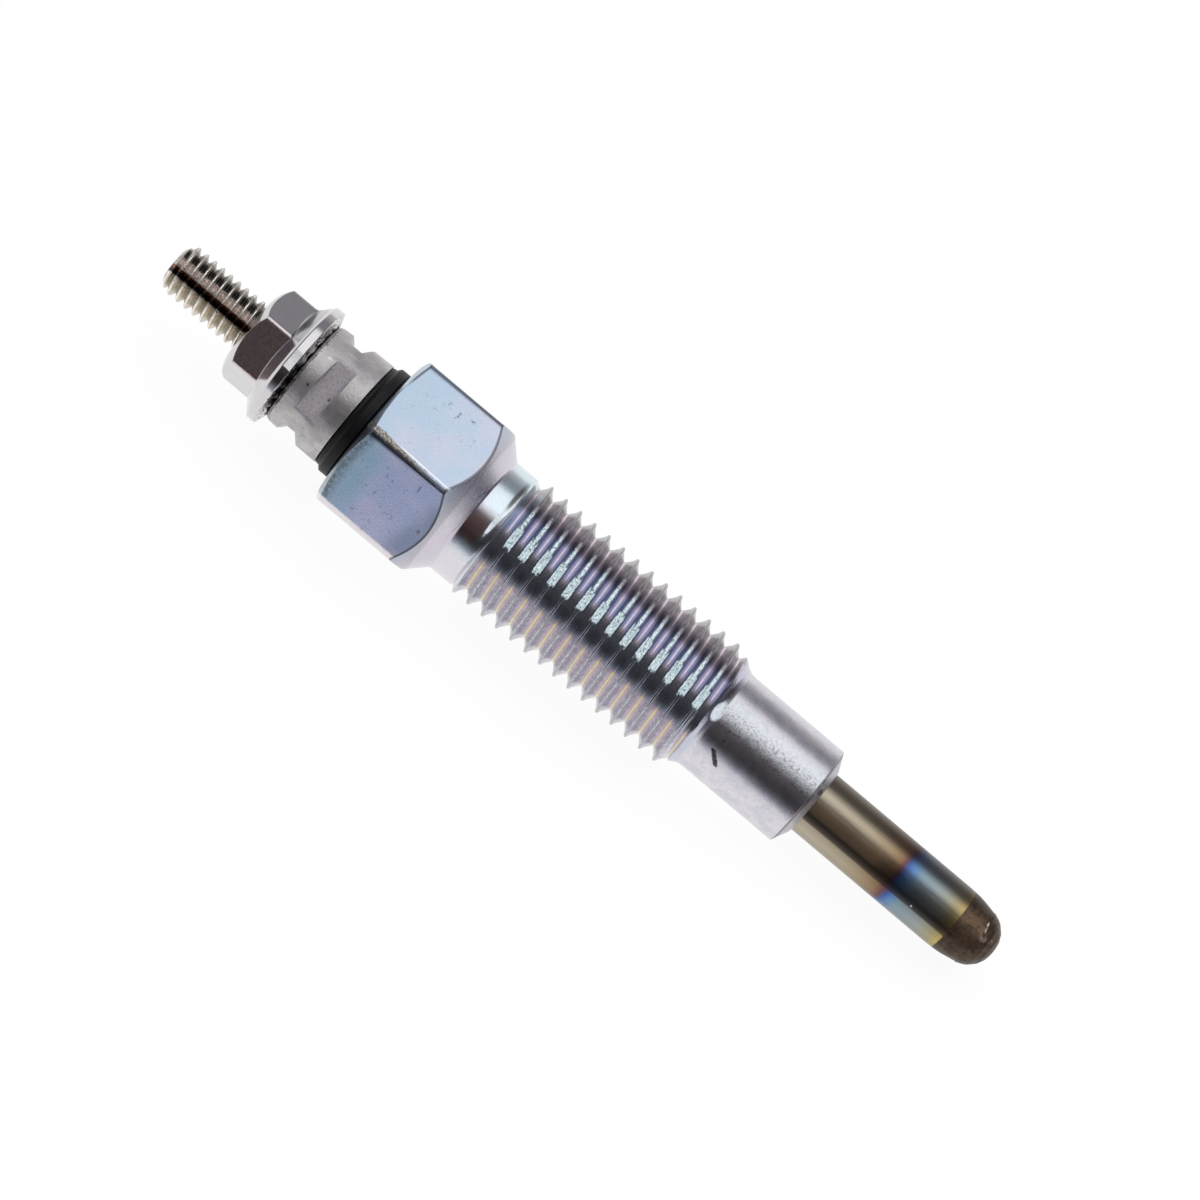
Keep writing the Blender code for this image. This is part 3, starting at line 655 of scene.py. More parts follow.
hex_angles = hexagon_angles(turn=0.0, corner_share=0.24, flat_steps=20, corner_steps=12)
hex_stud_side, hex_tip_side = (
    hexagon_radius(hex_angles, HEX_FLATS, rounding, turn=0.0) for rounding in HEX_CORNER_ROUNDING
)
chamfer_end = CHAMFER_AT[1] + (hex_stud_side - CHAMFER_AT[0]) * CHAMFER_SLOPE
cone_start = CONE_END - (hex_tip_side - NECK_RADIUS)
hexagon_rows = [
    (
        hex_stud_side + (hex_tip_side - hex_stud_side) * share,
        chamfer_end + (cone_start - chamfer_end) * share,
        0,
    )
    for share in (0.2, 0.4, 0.6, 0.8)
]
head_outline = [
    (MOUTH_RADIUS, 0.2, 0),
    (MOUTH_RADIUS + 0.2, 0.0, 0.05),
    (HEX_TOP_RADIUS, 0.0, 0.12),
    (*CHAMFER_AT, 0.3),
    (hex_stud_side, chamfer_end, 0.08),
    *hexagon_rows,
    (hex_tip_side, cone_start, 0.1),
    (NECK_RADIUS, CONE_END, 0.35),
    (NECK_RADIUS, THREAD_FROM, 0),
]
# The thread starts on the neck and runs out on the shank.
thread_floor = [
    (THREAD_FROM, NECK_RADIUS),
    (10.85, NECK_RADIUS),
    (11.3, 4.25),
    (11.8, 3.9),
    (29.6, 3.9),
    (30.1, 3.84),
    (THREAD_TO, SHANK_RADIUS),
]
thread_ceiling = [
    (THREAD_FROM, NECK_RADIUS),
    (10.85, NECK_RADIUS + 0.01),
    (11.3, THREAD_LIMIT_RADIUS),
    (28.75, THREAD_LIMIT_RADIUS),
    (29.36, 4.4),
    (29.8, 4.06),
    (30.2, 3.87),
    (THREAD_TO, SHANK_RADIUS + 0.01),
]
housing_thread = helix(
    hex_angles,
    THREAD_PITCH,
    THREAD_CREST_AT,
    THREAD_TOOTH,
    (THREAD_FROM, THREAD_TO),
    thread_floor,
    thread_ceiling,
)
foot_outline = [
    (SHANK_RADIUS, THREAD_TO, 0),
    (SHANK_RADIUS, SEAT_AT, 0.1),
    (SEAT_END_RADIUS, HOUSING_END, 0.05),
    (HOUSING_BORE, HOUSING_END, 0.04),
    (HOUSING_BORE, MOUTH_DEPTH + 0.4, 0.1),
    (MOUTH_RADIUS, MOUTH_DEPTH, 0.1),
    (MOUTH_RADIUS, 0.2, 0),
]
housing_rows = (
    rounded(head_outline, len(hex_angles)),
    housing_thread,
    rounded(foot_outline, len(hex_angles)),
)
housing = solid(
    "threaded_housing",
    "blue_zinc",
    hex_angles,
    *(shifted(rows, HOUSING_AT) for rows in housing_rows),
)
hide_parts("housing")

# From the hexagon's top along the neck and the thread.
SHEEN_LENGTH = 24.0
SHEEN = [
    (0.0, (0.46, 0.57, 0.69)),
    (0.30, (0.49, 0.60, 0.73)),
    (0.325, (0.60, 0.59, 0.66)),
    (0.38, (0.66, 0.62, 0.68)),
    (0.40, (0.66, 0.75, 0.78)),
    (0.50, (0.68, 0.77, 0.80)),
    (0.53, (0.56, 0.59, 0.68)),
    (1.0, (0.56, 0.58, 0.68)),
]
zinc_finish, place = new_finish("blue_passivated_zinc")
at = Places(place)
cloud = noise(place, 0.28, 2.0, 0.5)
patch = noise(place, 1.1, 3.0, 0.55)
fine = noise(place, 7.0, 3.0, 0.6)
grit = noise(place, 3.2, 4.0, 0.7)
coarse = noise(place, 6.4, 2.0, 0.6)
from_chamfer = at.along - (
    HOUSING_AT + CHAMFER_AT[1] + (at.radius - CHAMFER_AT[0]) * CHAMFER_SLOPE
)
from_cone = HOUSING_AT + CONE_END - at.along - (at.radius - NECK_RADIUS)
on_hex = fade(from_cone, 0.01, 0.07)
on_neck = band(at.along, 26.0, 26.2, 28.0, 28.3)
on_thread = band(at.along, 28.2, 28.5, 46.2, 46.6)
shank = fade(at.along, 46.7, 47.3)
seat = fade(at.along, 55.36, 55.45)
neck_viewed = fade(at.front, 1.0, 2.0)
thread_viewed = fade(at.front, 2.0, 2.6)
shank_viewed = fade(at.front, 3.0, 3.5)
corner_viewed = fade(at.front, 5.0, 5.5)

# Hexagon and cone: the dark side of the room is painted on the lower faces as a reflection,
# with a painted highlight at their lower corner, and painted shade lies on the cone.
lower_side = fade(at.lower, -0.1, 0.3)
painted_hex_lower_reflection = painted(
    (0.40, 0.46, 0.66),
    (fade(ragged(at.along, cloud, 4.0), 20.6, 18.2), (0.31, 0.45, 0.57)),
    (fade(at.along + at.lower * 0.3, 23.6, 25.2), (0.28, 0.33, 0.46)),
    (fade(ragged(at.lower, grit, 0.2), 5.44, 5.56), (0.80, 0.77, 0.78)),
)
cone_shade = fade(from_cone, 0.02, -0.02) * fade(at.along, 26.1, 25.9)
cone_shade = cone_shade * band(at.lower, -3.6, -2.4, -0.9, -0.3) * fade(grit, 0.25, 0.6)
# The film's tint along the plug, with painted reflections, shade and glints laid over it.
film_tint_and_painted_light = painted(
    ramp(ragged(at.along, patch, 0.25), HOUSING_AT, HOUSING_AT + SHEEN_LENGTH, SHEEN),
    (shank, blend(fade(patch, 0.35, 0.65), (0.64, 0.64, 0.70), (0.76, 0.72, 0.76))),
    (on_hex * lower_side, painted_hex_lower_reflection),
    (cone_shade * neck_viewed, (0.27, 0.28, 0.37)),
    (fade(cloud, 0.45, 0.7) * 0.32 * (1 - shank), (0.74, 0.62, 0.72)),
)

# Neck: painted reflections, reddish in the middle, pale on the lower side, blue on the upper.
painted_reddish_reflection = on_neck * fade(at.along, 27.6, 27.2)
painted_reddish_reflection = painted_reddish_reflection * fade(ragged(at.lower, grit, 0.8), -0.9, 0.3) * fade(at.lower, 1.8, 1.2)
film_tint_and_painted_light = painted(
    film_tint_and_painted_light,
    (painted_reddish_reflection * neck_viewed * 0.8, (0.84, 0.50, 0.46)),
    (on_neck * fade(at.lower, 2.0, 3.2) * 0.8, (0.78, 0.72, 0.78)),
    (on_neck * fade(at.lower, -0.9, -1.2) * 0.6, (0.72, 0.86, 0.92)),
)

# Thread: the crests carry a painted highlight on the upper side, speckled with dirt. The roots
# are yellow on the lower side, and the flanks beside the highlight have painted shade.
crest = at.from_crest(HOUSING_AT + THREAD_CREST_AT, THREAD_PITCH)
below = fade(at.lower, 0.9, 2.0)
above = fade(at.lower, -2.4, -2.9)
root_tint = painted(
    (0.80, 0.70, 0.78),
    (below, (0.78, 0.76, 0.50)),
    (fade(crest, 0.44, 0.40) * below, (0.84, 0.64, 0.70)),
    (fade(grit, 0.4, 0.6) * 0.3, (0.5, 0.5, 0.5)),
)
# The flanks' blue film tint, with painted light: near white from the middle down, greyer further
# down, darker on the upper side.
flank_tint_and_painted_light = painted(
    (0.45, 0.48, 0.63),
    (fade(at.lower, -1.0, -0.2), (0.84, 0.84, 0.86)),
    (below, blend(fade(grit, 0.4, 0.6), (0.62, 0.58, 0.64), (0.76, 0.74, 0.79))),
    (above, (0.46, 0.43, 0.45)),
    (fade(patch, 0.4, 0.6) * 0.4, (0.58, 0.52, 0.62)),
)
ragged_side = ragged(at.lower, grit, 1.4)
wide_band = band(ragged_side, -1.7, -1.0, 0.1, 0.5)
narrow_band = band(ragged_side, -3.5, -2.9, 0.1, 0.5)
highlight_crest = ragged(crest, coarse, 0.12)
painted_thread_highlight = (fade(highlight_crest, 0.25, 0.19) * wide_band).larger(fade(highlight_crest, 0.11, 0.07) * narrow_band)
painted_thread_highlight = painted_thread_highlight * on_thread * thread_viewed
specks = painted_thread_highlight * fade(coarse, 0.54, 0.62) * fade(crest, 0.17, 0.08)
painted_flank_shade = fade(crest, 0.12, 0.17) * fade(ragged(crest, patch, 0.1), 0.38, 0.26) * narrow_band
painted_flank_shade = on_thread * painted_flank_shade * thread_viewed * (1 - painted_thread_highlight)
# Painted shade along the thread's upper and lower rims, speckled painted shade on the lower flanks,
# a pale painted reflection in the middle, and painted shade on crests off the highlight.
painted_upper_rim_shade = fade(ragged(at.lower, grit, 0.5), -3.85, -4.15) * on_thread
painted_lower_rim_shade = fade(at.lower, 4.0, 4.3) * on_thread
painted_lower_flank_shade = on_thread * fade(crest, 0.34, 0.16) * fade(at.lower, 1.1, 1.7)
painted_middle_reflection = on_thread * fade(ragged(at.lower, grit, 0.6), -0.6, 0.2) * fade(at.lower, 2.2, 1.6)
painted_crest_shade = on_thread * fade(crest, 0.16, 0.08) * fade(ragged_side, 0.1, 0.5).larger(above)
film_tint_and_painted_light = painted(
    film_tint_and_painted_light,
    (on_thread * fade(crest, 0.09, 0.14), flank_tint_and_painted_light),
    (on_thread * fade(crest + below * 0.045, 0.405, 0.45), root_tint),
    (painted_thread_highlight, blend(fade(grit, 0.35, 0.65), (0.50, 0.66, 0.70), (0.82, 0.92, 0.95))),
    (specks * 0.75, (0.02, 0.03, 0.035)),
    (painted_upper_rim_shade * 0.7, (0.22, 0.19, 0.20)),
    (painted_lower_rim_shade * 0.35, (0.42, 0.35, 0.38)),
    (painted_flank_shade * 0.75, (0.10, 0.12, 0.20)),
    (painted_lower_flank_shade * fade(coarse, 0.42, 0.56) * 0.75, (0.24, 0.27, 0.34)),
    (
        painted_middle_reflection * (1 - painted_thread_highlight) * 0.7,
        blend(fade(coarse, 0.4, 0.6), (0.52, 0.60, 0.67), (0.70, 0.76, 0.82)),
    ),
    (painted_crest_shade * fade(grit, 0.35, 0.6) * 0.8, (0.42, 0.40, 0.42)),
    (painted_crest_shade * above * 0.6, (0.30, 0.28, 0.28)),
)

# Hexagon's edges: a dark line along them, painted shade behind the chamfer and on its lower
# side, and a speckled painted dark reflection on the corner between two glints.
edge_near = from_chamfer.smaller(from_cone)
edge_line = band(edge_near, -0.02, 0.04, 0.10, 0.20) * fade(at.radius, 5.5, 5.7)
edge_line = edge_line * (1 - fade(at.along, 20.0, 18.5) * fade(at.lower, -4.6, -3.6))
upper_line = band(at.lower, -5.86, -5.81, -5.76, -5.70) * fade(at.front, 2.8, 3.1) * on_hex
rim_shade = fade(from_chamfer, 0.95, 0.2) * lower_side * fade(at.lower, 5.5, 5.3)
rim_shade = rim_shade * fade(grit, 0.25, 0.6) * fade(at.along, 19.5, 18.6)
painted_chamfer_shade = fade(from_chamfer, 0.05, -0.05) * fade(at.along, 17.02, 17.1)
painted_chamfer_shade = painted_chamfer_shade * band(at.lower, 0.1, 0.5, 4.9, 5.3) * fade(grit, 0.3, 0.5)
corner = at.lower - (at.along - 17.3) * 0.03
corner_width = fade(at.along, 20.8, 18.0) * 0.14
painted_corner_reflection = fade(ragged(corner + corner_width, grit, 0.5), -0.42, -0.30)
painted_corner_reflection = painted_corner_reflection * fade(ragged(corner, grit, 0.3), 0.02, -0.08) * on_hex * corner_viewed
upper_glint = band(corner, -0.52, -0.46, -0.43, -0.38) * fade(at.along, 19.2, 20.4)
lower_glint = band(at.lower, 0.24, 0.28, 0.33, 0.38) * fade(at.along, 19.8, 20.6)
film_tint_and_painted_light = painted(
    film_tint_and_painted_light,
    (edge_line * lower_side * 0.2, (0.10, 0.10, 0.11)),
    (rim_shade * 0.85, (0.13, 0.16, 0.18)),
    (painted_chamfer_shade * 0.8, (0.20, 0.22, 0.24)),
    (
        painted_corner_reflection * fade(at.along, 23.4, 20.0),
        blend(fade(fine, 0.4, 0.6), (0.16, 0.14, 0.11), (0.55, 0.53, 0.48)),
    ),
    (upper_glint * on_hex * corner_viewed * 0.8, (0.95, 0.96, 0.97)),
    (lower_glint * on_hex * corner_viewed * 0.6, (0.80, 0.90, 0.97)),
)

# Brown-black marks: painted shade where the thread starts on the neck and where it runs out
# on the shank, dark lines along the hexagon, dirt, stains, a scratch on the shank and a line
# round the seat. Then small painted glints. A spot has its station, its lower place, its length
# and its width.
DIRT_AND_SHADE_SPOTS = [
    (27.64, -2.7, 0.17, 1.0),
    (46.84, -1.95, 0.22, 0.6),
    (48.5, 0.8, 0.13, 0.12),
    (55.62, -0.75, 0.16, 0.25),
]
GLINTS = [
    (24.0, -0.27, 0.12, 0.1),
    (27.87, -2.35, 0.06, 1.0),
    (27.60, -0.4, 0.15, 1.1),
    (46.96, -0.5, 0.36, 0.72),
]
SCRATCH_AT = (48.31, 1.605)
SCRATCH_TURN = math.radians(42.735)
specked = at.spot(22.2, -3.6, 1.5, 1.4) + at.spot(20.6, -3.0, 2.4, 2.3) * 0.45
specked = specked + at.spot(20.6, 3.0, 3.0, 2.6) * 0.5
specked = fade(noise(place, 2.3, 4.0, 0.75), 0.60, 0.65) * specked
stains = at.spot(22.45, 0.95, 0.07, 0.3, soft=0.6)
stains = stains + at.spot(24.17, 3.2, 0.14, 0.12, soft=0.8)
across = (at.lower - SCRATCH_AT[1]) * math.cos(SCRATCH_TURN)
across = ragged(across - (at.along - SCRATCH_AT[0]) * math.sin(SCRATCH_TURN), grit, 0.16)
scratch = fade(abs(across), 0.19, 0.11) * band(at.lower, 1.5, 1.62, 2.38, 2.5)
scratch = scratch * band(at.along, 48.1, 48.25, 49.2, 49.35) * fade(at.front, 0.0, 0.5)
seat_line = band(at.along, 55.2, 55.26, 55.36, 55.42)
dirt_and_shade = (edge_line * 0.7).larger(upper_line * 0.75)
dirt_and_shade = dirt_and_shade.larger(specked.smaller(1.0) * 0.6)
dirt_and_shade = dirt_and_shade.larger(at.spots(0.5, *DIRT_AND_SHADE_SPOTS) * 0.85)
dirt_and_shade = dirt_and_shade.larger(stains * fade(grit, 0.3, 0.6) * 0.6)
dirt_and_shade = dirt_and_shade.larger(scratch).larger(seat_line * 0.7)
glint = at.spot(17.6, -0.2, 0.13, 0.1).larger(at.spots(0.45, *GLINTS))

# Shank: a painted mottled highlight on the side that faces the light, with small pits.
painted_mottled_highlight = shank * shank_viewed * fade(ragged(at.lower, grit, 1.2), 0.12, -0.3)
painted_mottled_highlight = painted_mottled_highlight * fade(grit, 0.36, 0.60) * (1 - seat) * fade(at.lower, -2.6, -1.4)
pitted = shank * band(at.lower, -1.5, -1.1, 0.1, 0.4) * shank_viewed * fade(coarse, 0.52, 0.62)
film_tint_and_painted_light = painted(
    film_tint_and_painted_light,
    (dirt_and_shade, (0.08, 0.06, 0.055)),
    (glint, blend(fade(grit, 0.3, 0.6), (0.55, 0.62, 0.67), (0.78, 0.84, 0.88))),
    (painted_mottled_highlight * 0.85, (0.88, 0.94, 0.97)),
    (pitted * 0.6, (0.22, 0.24, 0.27)),
    (fade(fine, 0.45, 0.65) * (0.12 + shank * 0.14), (0.34, 0.34, 0.38)),
)
soft = painted_mottled_highlight * 0.25 + painted_thread_highlight * 0.1 + glint * 0.1 + seat * 0.35 + painted_corner_reflection * 0.35
soft = soft.smaller(0.8)

# The crests' painted highlight and the glints beyond the hexagon have a surface direction of
# their own: straight out from the axis, and leaning towards the light.
lean = fade(at.lower, -1.3, 0.4) * 1.7 - fade(at.lower, -2.6, -3.4) * 0.9
from_axis = place.node("VectorMath", {"operation": "MULTIPLY"}, {0: place, 1: (1.0, 1.0, 0.0)})
sockets = {0: lean, 1: outwards(UPPER_TURN), 2: from_axis}
leaning = place.node("VectorMath", {"operation": "MULTIPLY_ADD"}, sockets)
sockets = {"Vector": leaning, "Rotation": PLUG.to_euler()}
outward = place.node("Mapping", {"vector_type": "NORMAL"}, sockets)
own_direction = painted_thread_highlight.larger(glint * fade(at.along, 26.0, 27.0))
plain = bump(place, fine * 0.35 + grit * (soft + shank * 0.35), 0.01)
put_on(
    zinc_finish,
    [housing],
    place,
    {
        "Base Color": film_tint_and_painted_light,
        "Metallic": 1.0 - soft,
        "Roughness": 0.17 + patch * 0.07 + fine * 0.05 + shank * 0.06 + soft * 0.35 + dirt_and_shade * 0.2,
        "Normal": blend(own_direction, plain, bump(place, coarse, 0.03, outward)),
    },
)

# Insulating washer: a black moulding between the sleeve and the housing. Its spigot
# centres the rod in the housing's mouth.
WASHER_AT = 15.75
WASHER_RADIUS = 4.39
WASHER_TOP_RADIUS = 4.1
WASHER_HEIGHT = 1.16
SPIGOT_RADIUS = 3.27
SPIGOT_END = 2.34
ROD_HOLE = 1.99
washer_angles = np.radians(np.linspace(0, 360, 145))
washer_outline = [
    (ROD_HOLE, 0.0, 0),
    (WASHER_TOP_RADIUS, 0.0, 0.04),
    (WASHER_TOP_RADIUS, 0.22, 0.03),
    (WASHER_RADIUS, 0.46, 0.06),
    (WASHER_RADIUS, WASHER_HEIGHT, 0.05),
    (SPIGOT_RADIUS, WASHER_HEIGHT, 0.05),
    (SPIGOT_RADIUS, SPIGOT_END, 0.1),
    (ROD_HOLE, SPIGOT_END, 0.1),
    (ROD_HOLE, 0.0, 0),
]
washer = solid(
    "insulator_washer",
    "black_insulator",
    washer_angles,
    shifted(rounded(washer_outline, len(washer_angles)), WASHER_AT),
)
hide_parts("insulating_washer")

insulator_finish, place = new_finish("black_insulator_moulding")
at = Places(place)
haze = noise(place, 1.2, 3.0)
dust = noise(place, 12.0, 3.0)
moulded = painted(
    (0.006, 0.006, 0.007),
    (haze, (0.014, 0.014, 0.015)),
    (at.spot(16.55, 4.05, 0.1, 0.12), (0.002, 0.002, 0.002)),
)
put_on(
    insulator_finish,
    [washer],
    place,
    {
        "Base Color": moulded,
        "Specular IOR Level": 0.3,
        "Roughness": 0.42 + dust * 0.2,
        "Normal": bump(place, dust, 0.006),
    },
)

# Terminal sleeve: a thick nickel-plated collar, crimped to the rod by four pressed flats
# and tumbled dull. The two flats pressed by the wide jaws have steep ends.
SLEEVE_AT = 11.24
SLEEVE_LENGTH = 4.43
SLEEVE_MOUTH_RADIUS = 3.82
SLEEVE_TOP_RADIUS = 3.98
SLEEVE_FOOT_RADIUS = 4.14
CRIMP_TURN = 30
CRIMP_RADIUS = 3.45
CRIMP_AT = 1.4
CRIMP_SLANT = -0.056
WIDE_CRIMP = (1.5, math.tan(math.radians(84)))
SIDE_CRIMP = (0.9, math.tan(math.radians(54)))
sleeve_angles = np.radians(np.linspace(0, 360, 289))
from_crimp = np.degrees(sleeve_angles) - CRIMP_TURN
off_flat = np.radians((from_crimp + 45) % 90 - 45)
wide = np.round(from_crimp / 90).astype(int) % 2 == 0
crimp_length, crimp_slope = (np.where(wide, *pair) for pair in zip(WIDE_CRIMP, SIDE_CRIMP))
flat_radius = CRIMP_RADIUS / np.cos(off_flat)
crimp_start = CRIMP_AT + CRIMP_SLANT * CRIMP_RADIUS * np.tan(off_flat) * wide
press_top = np.minimum(flat_radius, SLEEVE_TOP_RADIUS + 0.04)
press_foot = np.minimum(flat_radius, SLEEVE_FOOT_RADIUS - 0.04)
run_top, run_foot = (
    np.maximum(radius * np.cos(off_flat) - CRIMP_RADIUS, 0) / crimp_slope
    for radius in (SLEEVE_TOP_RADIUS + 0.03, SLEEVE_FOOT_RADIUS - 0.03)
)
sleeve_outline = [
    (ROD_HOLE, 0.0, 0),
    (SLEEVE_MOUTH_RADIUS, 0.0, 0.05),
    (SLEEVE_TOP_RADIUS - 0.02, 0.22, 0.08),
    (SLEEVE_TOP_RADIUS + 0.03, crimp_start - run_top, 0.04),
    (press_top, crimp_start, 0.03),
    (press_foot, crimp_start + crimp_length, 0.03),
    (SLEEVE_FOOT_RADIUS - 0.03, crimp_start + crimp_length + run_foot, 0.04),
    (SLEEVE_FOOT_RADIUS, SLEEVE_LENGTH, 0.05),
    (ROD_HOLE, SLEEVE_LENGTH, 0),
    (ROD_HOLE, 0.0, 0),
]
sleeve = solid(
    "crimped_sleeve",
    "matte_nickel",
    sleeve_angles,
    shifted(rounded(sleeve_outline, len(sleeve_angles)), SLEEVE_AT),
)
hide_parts("crimp_sleeve")

sleeve_finish, place = new_finish("tumbled_nickel_plate")
at = Places(place)
cloud = noise(place, 0.7, 3.0, 0.6)
tumbled = noise(place, 6.0, 4.0, 0.65)
# The flat that faces the viewer has painted light on it and two rust spots. The mouth's rim
# is worn.
painted_lit_flat = band(at.front, 3.3, 3.38, 3.48, 3.52) * band(at.along, 12.4, 12.45, 14.35, 14.4)
top_ring = fade(at.along, 11.62, 11.5)
rust = at.spots(0.5, (12.25, 0.47, 0.1, 0.12), (13.95, 0.33, 0.1, 0.12))
glint = at.spot(12.25, -1.8, 0.16, 0.09, soft=0.6)
plating_and_painted_light = painted(
    (0.52, 0.495, 0.50),
    (fade(cloud, 0.3, 0.7), (0.72, 0.70, 0.69)),
    (fade(tumbled, 0.55, 0.7) * 0.5, (0.30, 0.28, 0.28)),
    (painted_lit_flat * 0.85, blend(fade(tumbled, 0.3, 0.7), (0.62, 0.57, 0.61), (0.95, 0.88, 0.93))),
    (top_ring * fade(tumbled, 0.54, 0.62) * 0.8, (0.14, 0.12, 0.12)),
    (top_ring * fade(tumbled, 0.46, 0.38), (0.80, 0.79, 0.79)),
    (rust * fade(tumbled, 0.35, 0.5), (0.16, 0.07, 0.045)),
    (glint * fade(tumbled, 0.3, 0.5), (0.98, 0.98, 0.98)),
)
put_on(
    sleeve_finish,
    [sleeve],
    place,
    {
        "Base Color": plating_and_painted_light,
        "Metallic": 0.74 - painted_lit_flat * 0.64,
        "Roughness": 0.36 + tumbled * 0.16,
        "Normal": bump(place, tumbled, 0.03),
    },
)

# Terminal nut: an M4 flange nut, 7 mm across the flats, bright nickel plated. The foot of
# its flange is serrated so that it bites into the sleeve.
NUT_AT = 6.68
NUT_HEIGHT = 4.48
NUT_FLATS = 6.74
NUT_CORNER_ROUNDING = 0.35
NUT_TURN = -18.9
NUT_MOUTH_RADIUS = 2.39
CROWN_RADIUS = 2.6
CROWN_RISE = 0.46
CROWN_CURVE = 1.8
FLANGE_AT = 2.58
FLANGE_DROP = 0.3
FLANGE_RADIUS = 4.75
TOOTH_COUNT = 24
TOOTH_DEPTH = 0.13
TOOTH_STEPS = 8
nut_angles = hexagon_angles(NUT_TURN, corner_share=0.2, flat_steps=22, corner_steps=10)
teeth = np.radians(np.arange(0, 360, 360 / TOOTH_COUNT / TOOTH_STEPS))
nut_angles = np.unique(np.round(np.concatenate([nut_angles, teeth]), 5))
nut_hex = hexagon_radius(nut_angles, NUT_FLATS, NUT_CORNER_ROUNDING, NUT_TURN)
crown = [
    (
        CROWN_RADIUS + (nut_hex - CROWN_RADIUS) * share,
        CROWN_RISE * ((nut_hex - CROWN_RADIUS) * share) ** CROWN_CURVE,
        0,
    )
    for share in (0.2, 0.4, 0.6, 0.8)
]
crown_end = CROWN_RISE * (nut_hex - CROWN_RADIUS) ** CROWN_CURVE
flange_start = FLANGE_AT + (nut_hex - NUT_FLATS / 2) * FLANGE_DROP
# Each tooth has a depth of its own. At a full turn the first one comes round again.
tooth_turn = np.degrees(nut_angles) * TOOTH_COUNT / 360
tooth_height = np.random.default_rng(7).uniform(0.55, 1.0, TOOTH_COUNT + 1)
tooth_height[-1] = tooth_height[0]
from_tooth = np.abs((tooth_turn + 0.5) % 1 - 0.5) * 2
groove = np.clip(1.15 - from_tooth * 1.3, 0, 1) * TOOTH_DEPTH
groove *= tooth_height[np.minimum(np.round(tooth_turn).astype(int), TOOTH_COUNT)]
nut_outline = [
    (ROD_HOLE, 0.4, 0),
    (NUT_MOUTH_RADIUS, 0.0, 0.05),
    (CROWN_RADIUS, 0.0, 0),
    *crown,
    (nut_hex, crown_end, 0.05),
    (nut_hex, crown_end + (flange_start - crown_end) / 2, 0),
    (nut_hex, flange_start, 0.22),
    (4.5, 3.34, 0.04),
    (FLANGE_RADIUS, 3.56, 0.16),
    (FLANGE_RADIUS, 4.17, 0.1),
    (4.56, 4.25 - groove * 0.5, 0.03),
    (4.1, 4.40 - groove, 0.02),
    (3.95, NUT_HEIGHT - groove, 0.02),
    (3.2, NUT_HEIGHT - groove * 0.66, 0),
    (NUT_MOUTH_RADIUS, NUT_HEIGHT - groove * 0.3, 0.03),
    (ROD_HOLE, NUT_HEIGHT - 0.4, 0.03),
    (ROD_HOLE, 0.4, 0),
]
nut = solid(
    "flange_nut",
    "bright_nickel",
    nut_angles,
    shifted(rounded(nut_outline, len(nut_angles), steps=3), NUT_AT),
)
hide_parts("terminal_nut")

nut_finish, place = new_finish("bright_nickel_plate")
at = Places(place)
dents = noise(place, 1.6, 3.0, 0.6)
pits = noise(place, 6.0, 3.0, 0.65)
# The facet that faces the viewer has a painted brown reflection, the flange's slope painted
# shade and its rim white. Painted shade darkens the serration, and a painted dark line lies
# between it and the sleeve.
facet_turn = math.radians(NUT_TURN + 4 * 60 - VIEWER_TURN)
facing = at.front * math.cos(facet_turn) + at.lower * math.sin(facet_turn)
painted_facet_reflection = band(facing, 3.30, 3.34, 3.39, 3.42) * fade(at.along, 9.44, 9.38)
painted_slope_shade = band(at.along, 9.25, 9.35, 10.0, 10.1) * fade(at.lower, -1.1, -1.4)
painted_slope_shade = painted_slope_shade * fade(at.front, -0.5, 0.3)
painted_foot_shade = fade(at.along, 10.75, 10.85) * fade(pits, 0.5, 0.6)
painted_gap_shade = band(ragged(at.along, pits, 0.3), 10.86, 10.92, 11.08, 11.14)
painted_gap_shade = painted_gap_shade * band(at.lower, -0.2, 0.1, 3.0, 3.4) * fade(at.front, 0.5, 1.0)
bright = painted(
    (0.60, 0.59, 0.60),
    (dents, (0.70, 0.68, 0.68)),
    (painted_slope_shade, blend(fade(at.radius, 3.9, 4.1), (0.22, 0.22, 0.24), (0.42, 0.42, 0.44))),
    (painted_foot_shade, (0.20, 0.17, 0.17)),
    (painted_facet_reflection * 0.85, blend(fade(pits, 0.35, 0.65), (0.82, 0.62, 0.59), (0.50, 0.38, 0.37))),
    (painted_gap_shade, (0.012, 0.011, 0.012)),
)
lit_rim = band(at.along, 10.1, 10.18, 10.8, 10.85) * fade(at.lower, -0.9, -0.8)
lit_rim = lit_rim * fade(at.front, 1.0, 2.0) * fade(ragged(at.lower, pits, 0.4), 0.7, 0.5)
from_light = at.lower + 0.8
curved = bump(place, from_light * from_light * 12.0 + pits * 0.6, 0.01)
dented = bump(place, dents * (0.25 + painted_facet_reflection * 0.7) + pits * 0.2, 0.012)
put_on(
    nut_finish,
    [nut],
    place,
    {
        "Base Color": bright,
        "Metallic": 1.0 - painted_facet_reflection * 0.12,
        "Roughness": 0.1 + pits * 0.08 + painted_facet_reflection * 0.12,
        "Normal": blend(lit_rim, dented, curved),
    },
)

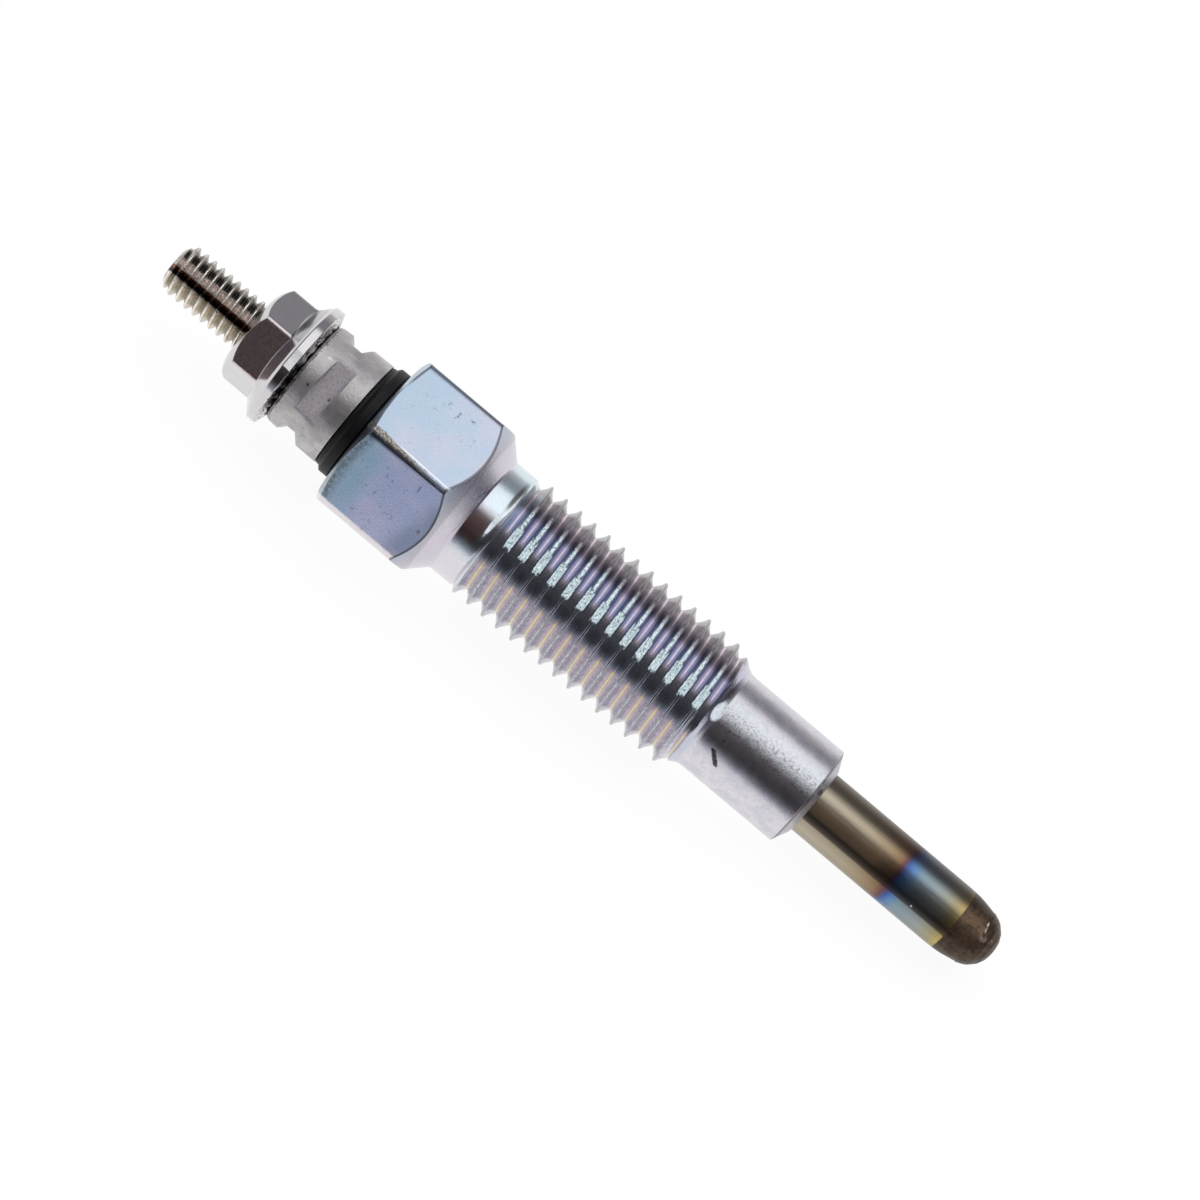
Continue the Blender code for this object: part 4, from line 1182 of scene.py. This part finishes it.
# Table: a plain white sheet. It shows white to the eye and in the plug's metal, and keeps
# a faint trace of the plug's soft shadow.
bpy.ops.mesh.primitive_grid_add(x_subdivisions=2, y_subdivisions=2, size=6.0)
table = bpy.context.object
table.name = "table"
table_finish = bpy.data.materials.new("white_table")
table_finish.use_nodes = True
table_finish.node_tree.nodes.clear()
start = Signal(table_finish.node_tree, None)
rays = start.node("LightPath", {}, {}).socket.node.outputs
seen = [Signal(start.tree, rays[f"Is {kind} Ray"]) for kind in ("Camera", "Glossy", "Transmission")]
matt = start.node("BsdfDiffuse", {}, {"Color": (0.62, 0.62, 0.62, 1.0)})
faint = start.node("BsdfDiffuse", {}, {"Color": (0.15, 0.15, 0.15, 1.0)})
glow = start.node("Emission", {}, {"Color": (1.0, 1.0, 1.0, 1.0), "Strength": 0.935})
lit = start.node("AddShader", {}, {0: faint, 1: glow})
shown = (seen[0] + seen[1] + seen[2]).smaller(1.0)
mixed = start.node("MixShader", {}, {0: shown, 1: matt, 2: lit})
start.node("OutputMaterial", {}, {"Surface": mixed})
table.data.materials.append(table_finish)

# Studio light: a long soft box overhead, leaning back, with the dark room in front of it.
# The world is both, so that the plug's metal mirrors them and no lamp is needed.
world = bpy.data.worlds.new("studio")
bpy.context.scene.world = world
world.use_nodes = True
world.node_tree.nodes.clear()
start = Signal(world.node_tree, None)
direction = start.node("TexCoord", {}, {}, "Generated")
parts = direction.node("SeparateXYZ", {}, {"Vector": direction}).socket.node.outputs
sideways, backwards, upwards = (Signal(start.tree, part) for part in parts)
lean = backwards.math("ARCTAN2", upwards) * (180 / math.pi)
# From the ground in front, over the top at 0 degrees, to the ground behind.
ROOM_FROM = -100
ROOM_TO = 100
room_colours = [
    (-100, (0.85, 0.83, 0.85)),
    (-92, (0.55, 0.58, 0.68)),
    (-84, (0.28, 0.29, 0.36)),
    (-76, (0.07, 0.06, 0.065)),
    (-70, (0.022, 0.02, 0.022)),
    (-58, (0.027, 0.026, 0.027)),
    (-48, (0.056, 0.051, 0.053)),
    (-22, (0.088, 0.080, 0.083)),
    (-14, (0.17, 0.15, 0.15)),
    (-9, (1.15, 1.17, 1.2)),
    (8, (1.2, 1.2, 1.22)),
    (38, (1.1, 1.1, 1.12)),
    (46, (0.26, 0.26, 0.29)),
    (66, (0.25, 0.25, 0.28)),
    (76, (0.46, 0.44, 0.45)),
    (95, (0.62, 0.60, 0.60)),
]
stops = [((angle - ROOM_FROM) / (ROOM_TO - ROOM_FROM), colour) for angle, colour in room_colours]
room = ramp(lean, ROOM_FROM, ROOM_TO, stops)
shade = fade(abs(upwards), 0.08, 0.22).larger(fade(backwards, 0.12, 0.3))
side = blend(shade, (0.42, 0.42, 0.45), (0.08, 0.08, 0.10))
studio = blend(fade(abs(sideways), 0.52, 0.72), room, side)
to_camera = start.node("LightPath", {}, {})
background = start.node("Background", {}, {"Color": studio, "Strength": 1.0})
white = start.node("Background", {}, {"Color": (1.0, 1.0, 1.0, 1.0), "Strength": 1.0})
mixed = start.node("MixShader", {}, {0: to_camera, 1: background, 2: white})
start.node("OutputWorld", {}, {"Surface": mixed})

# Camera: a long lens above the plug's middle, square to its axis, and rolled so that the
# plug points down right.
CAMERA_STATION = 36.22
CAMERA_DISTANCE = 350.0
CAMERA_LENS = 156.97
CENTRE_UP = 1.10
ROLL = math.radians(40.12)
turned_axes = PLUG.to_3x3()
along_axis = (turned_axes @ Vector((0, 0, 1))).normalized()
towards = turned_axes @ outwards(VIEWER_TURN)
upper_side = turned_axes @ outwards(UPPER_TURN)
target = STUD_END + (along_axis * CAMERA_STATION + upper_side * CENTRE_UP) / 1000
right = along_axis * math.cos(ROLL) + upper_side * math.sin(ROLL)
up = towards.cross(right)
camera = bpy.data.objects.new("camera", bpy.data.cameras.new("camera"))
bpy.context.scene.collection.objects.link(camera)
axes = Matrix((right, up, towards)).transposed().to_4x4()
camera.matrix_world = Matrix.Translation(target + towards * CAMERA_DISTANCE / 1000) @ axes
camera.data.sensor_width = 36.0
camera.data.lens = CAMERA_LENS
camera.data.clip_start = 0.01
camera.data.clip_end = 20.0
bpy.context.scene.camera = camera
bpy.context.scene.view_settings.view_transform = "Standard"
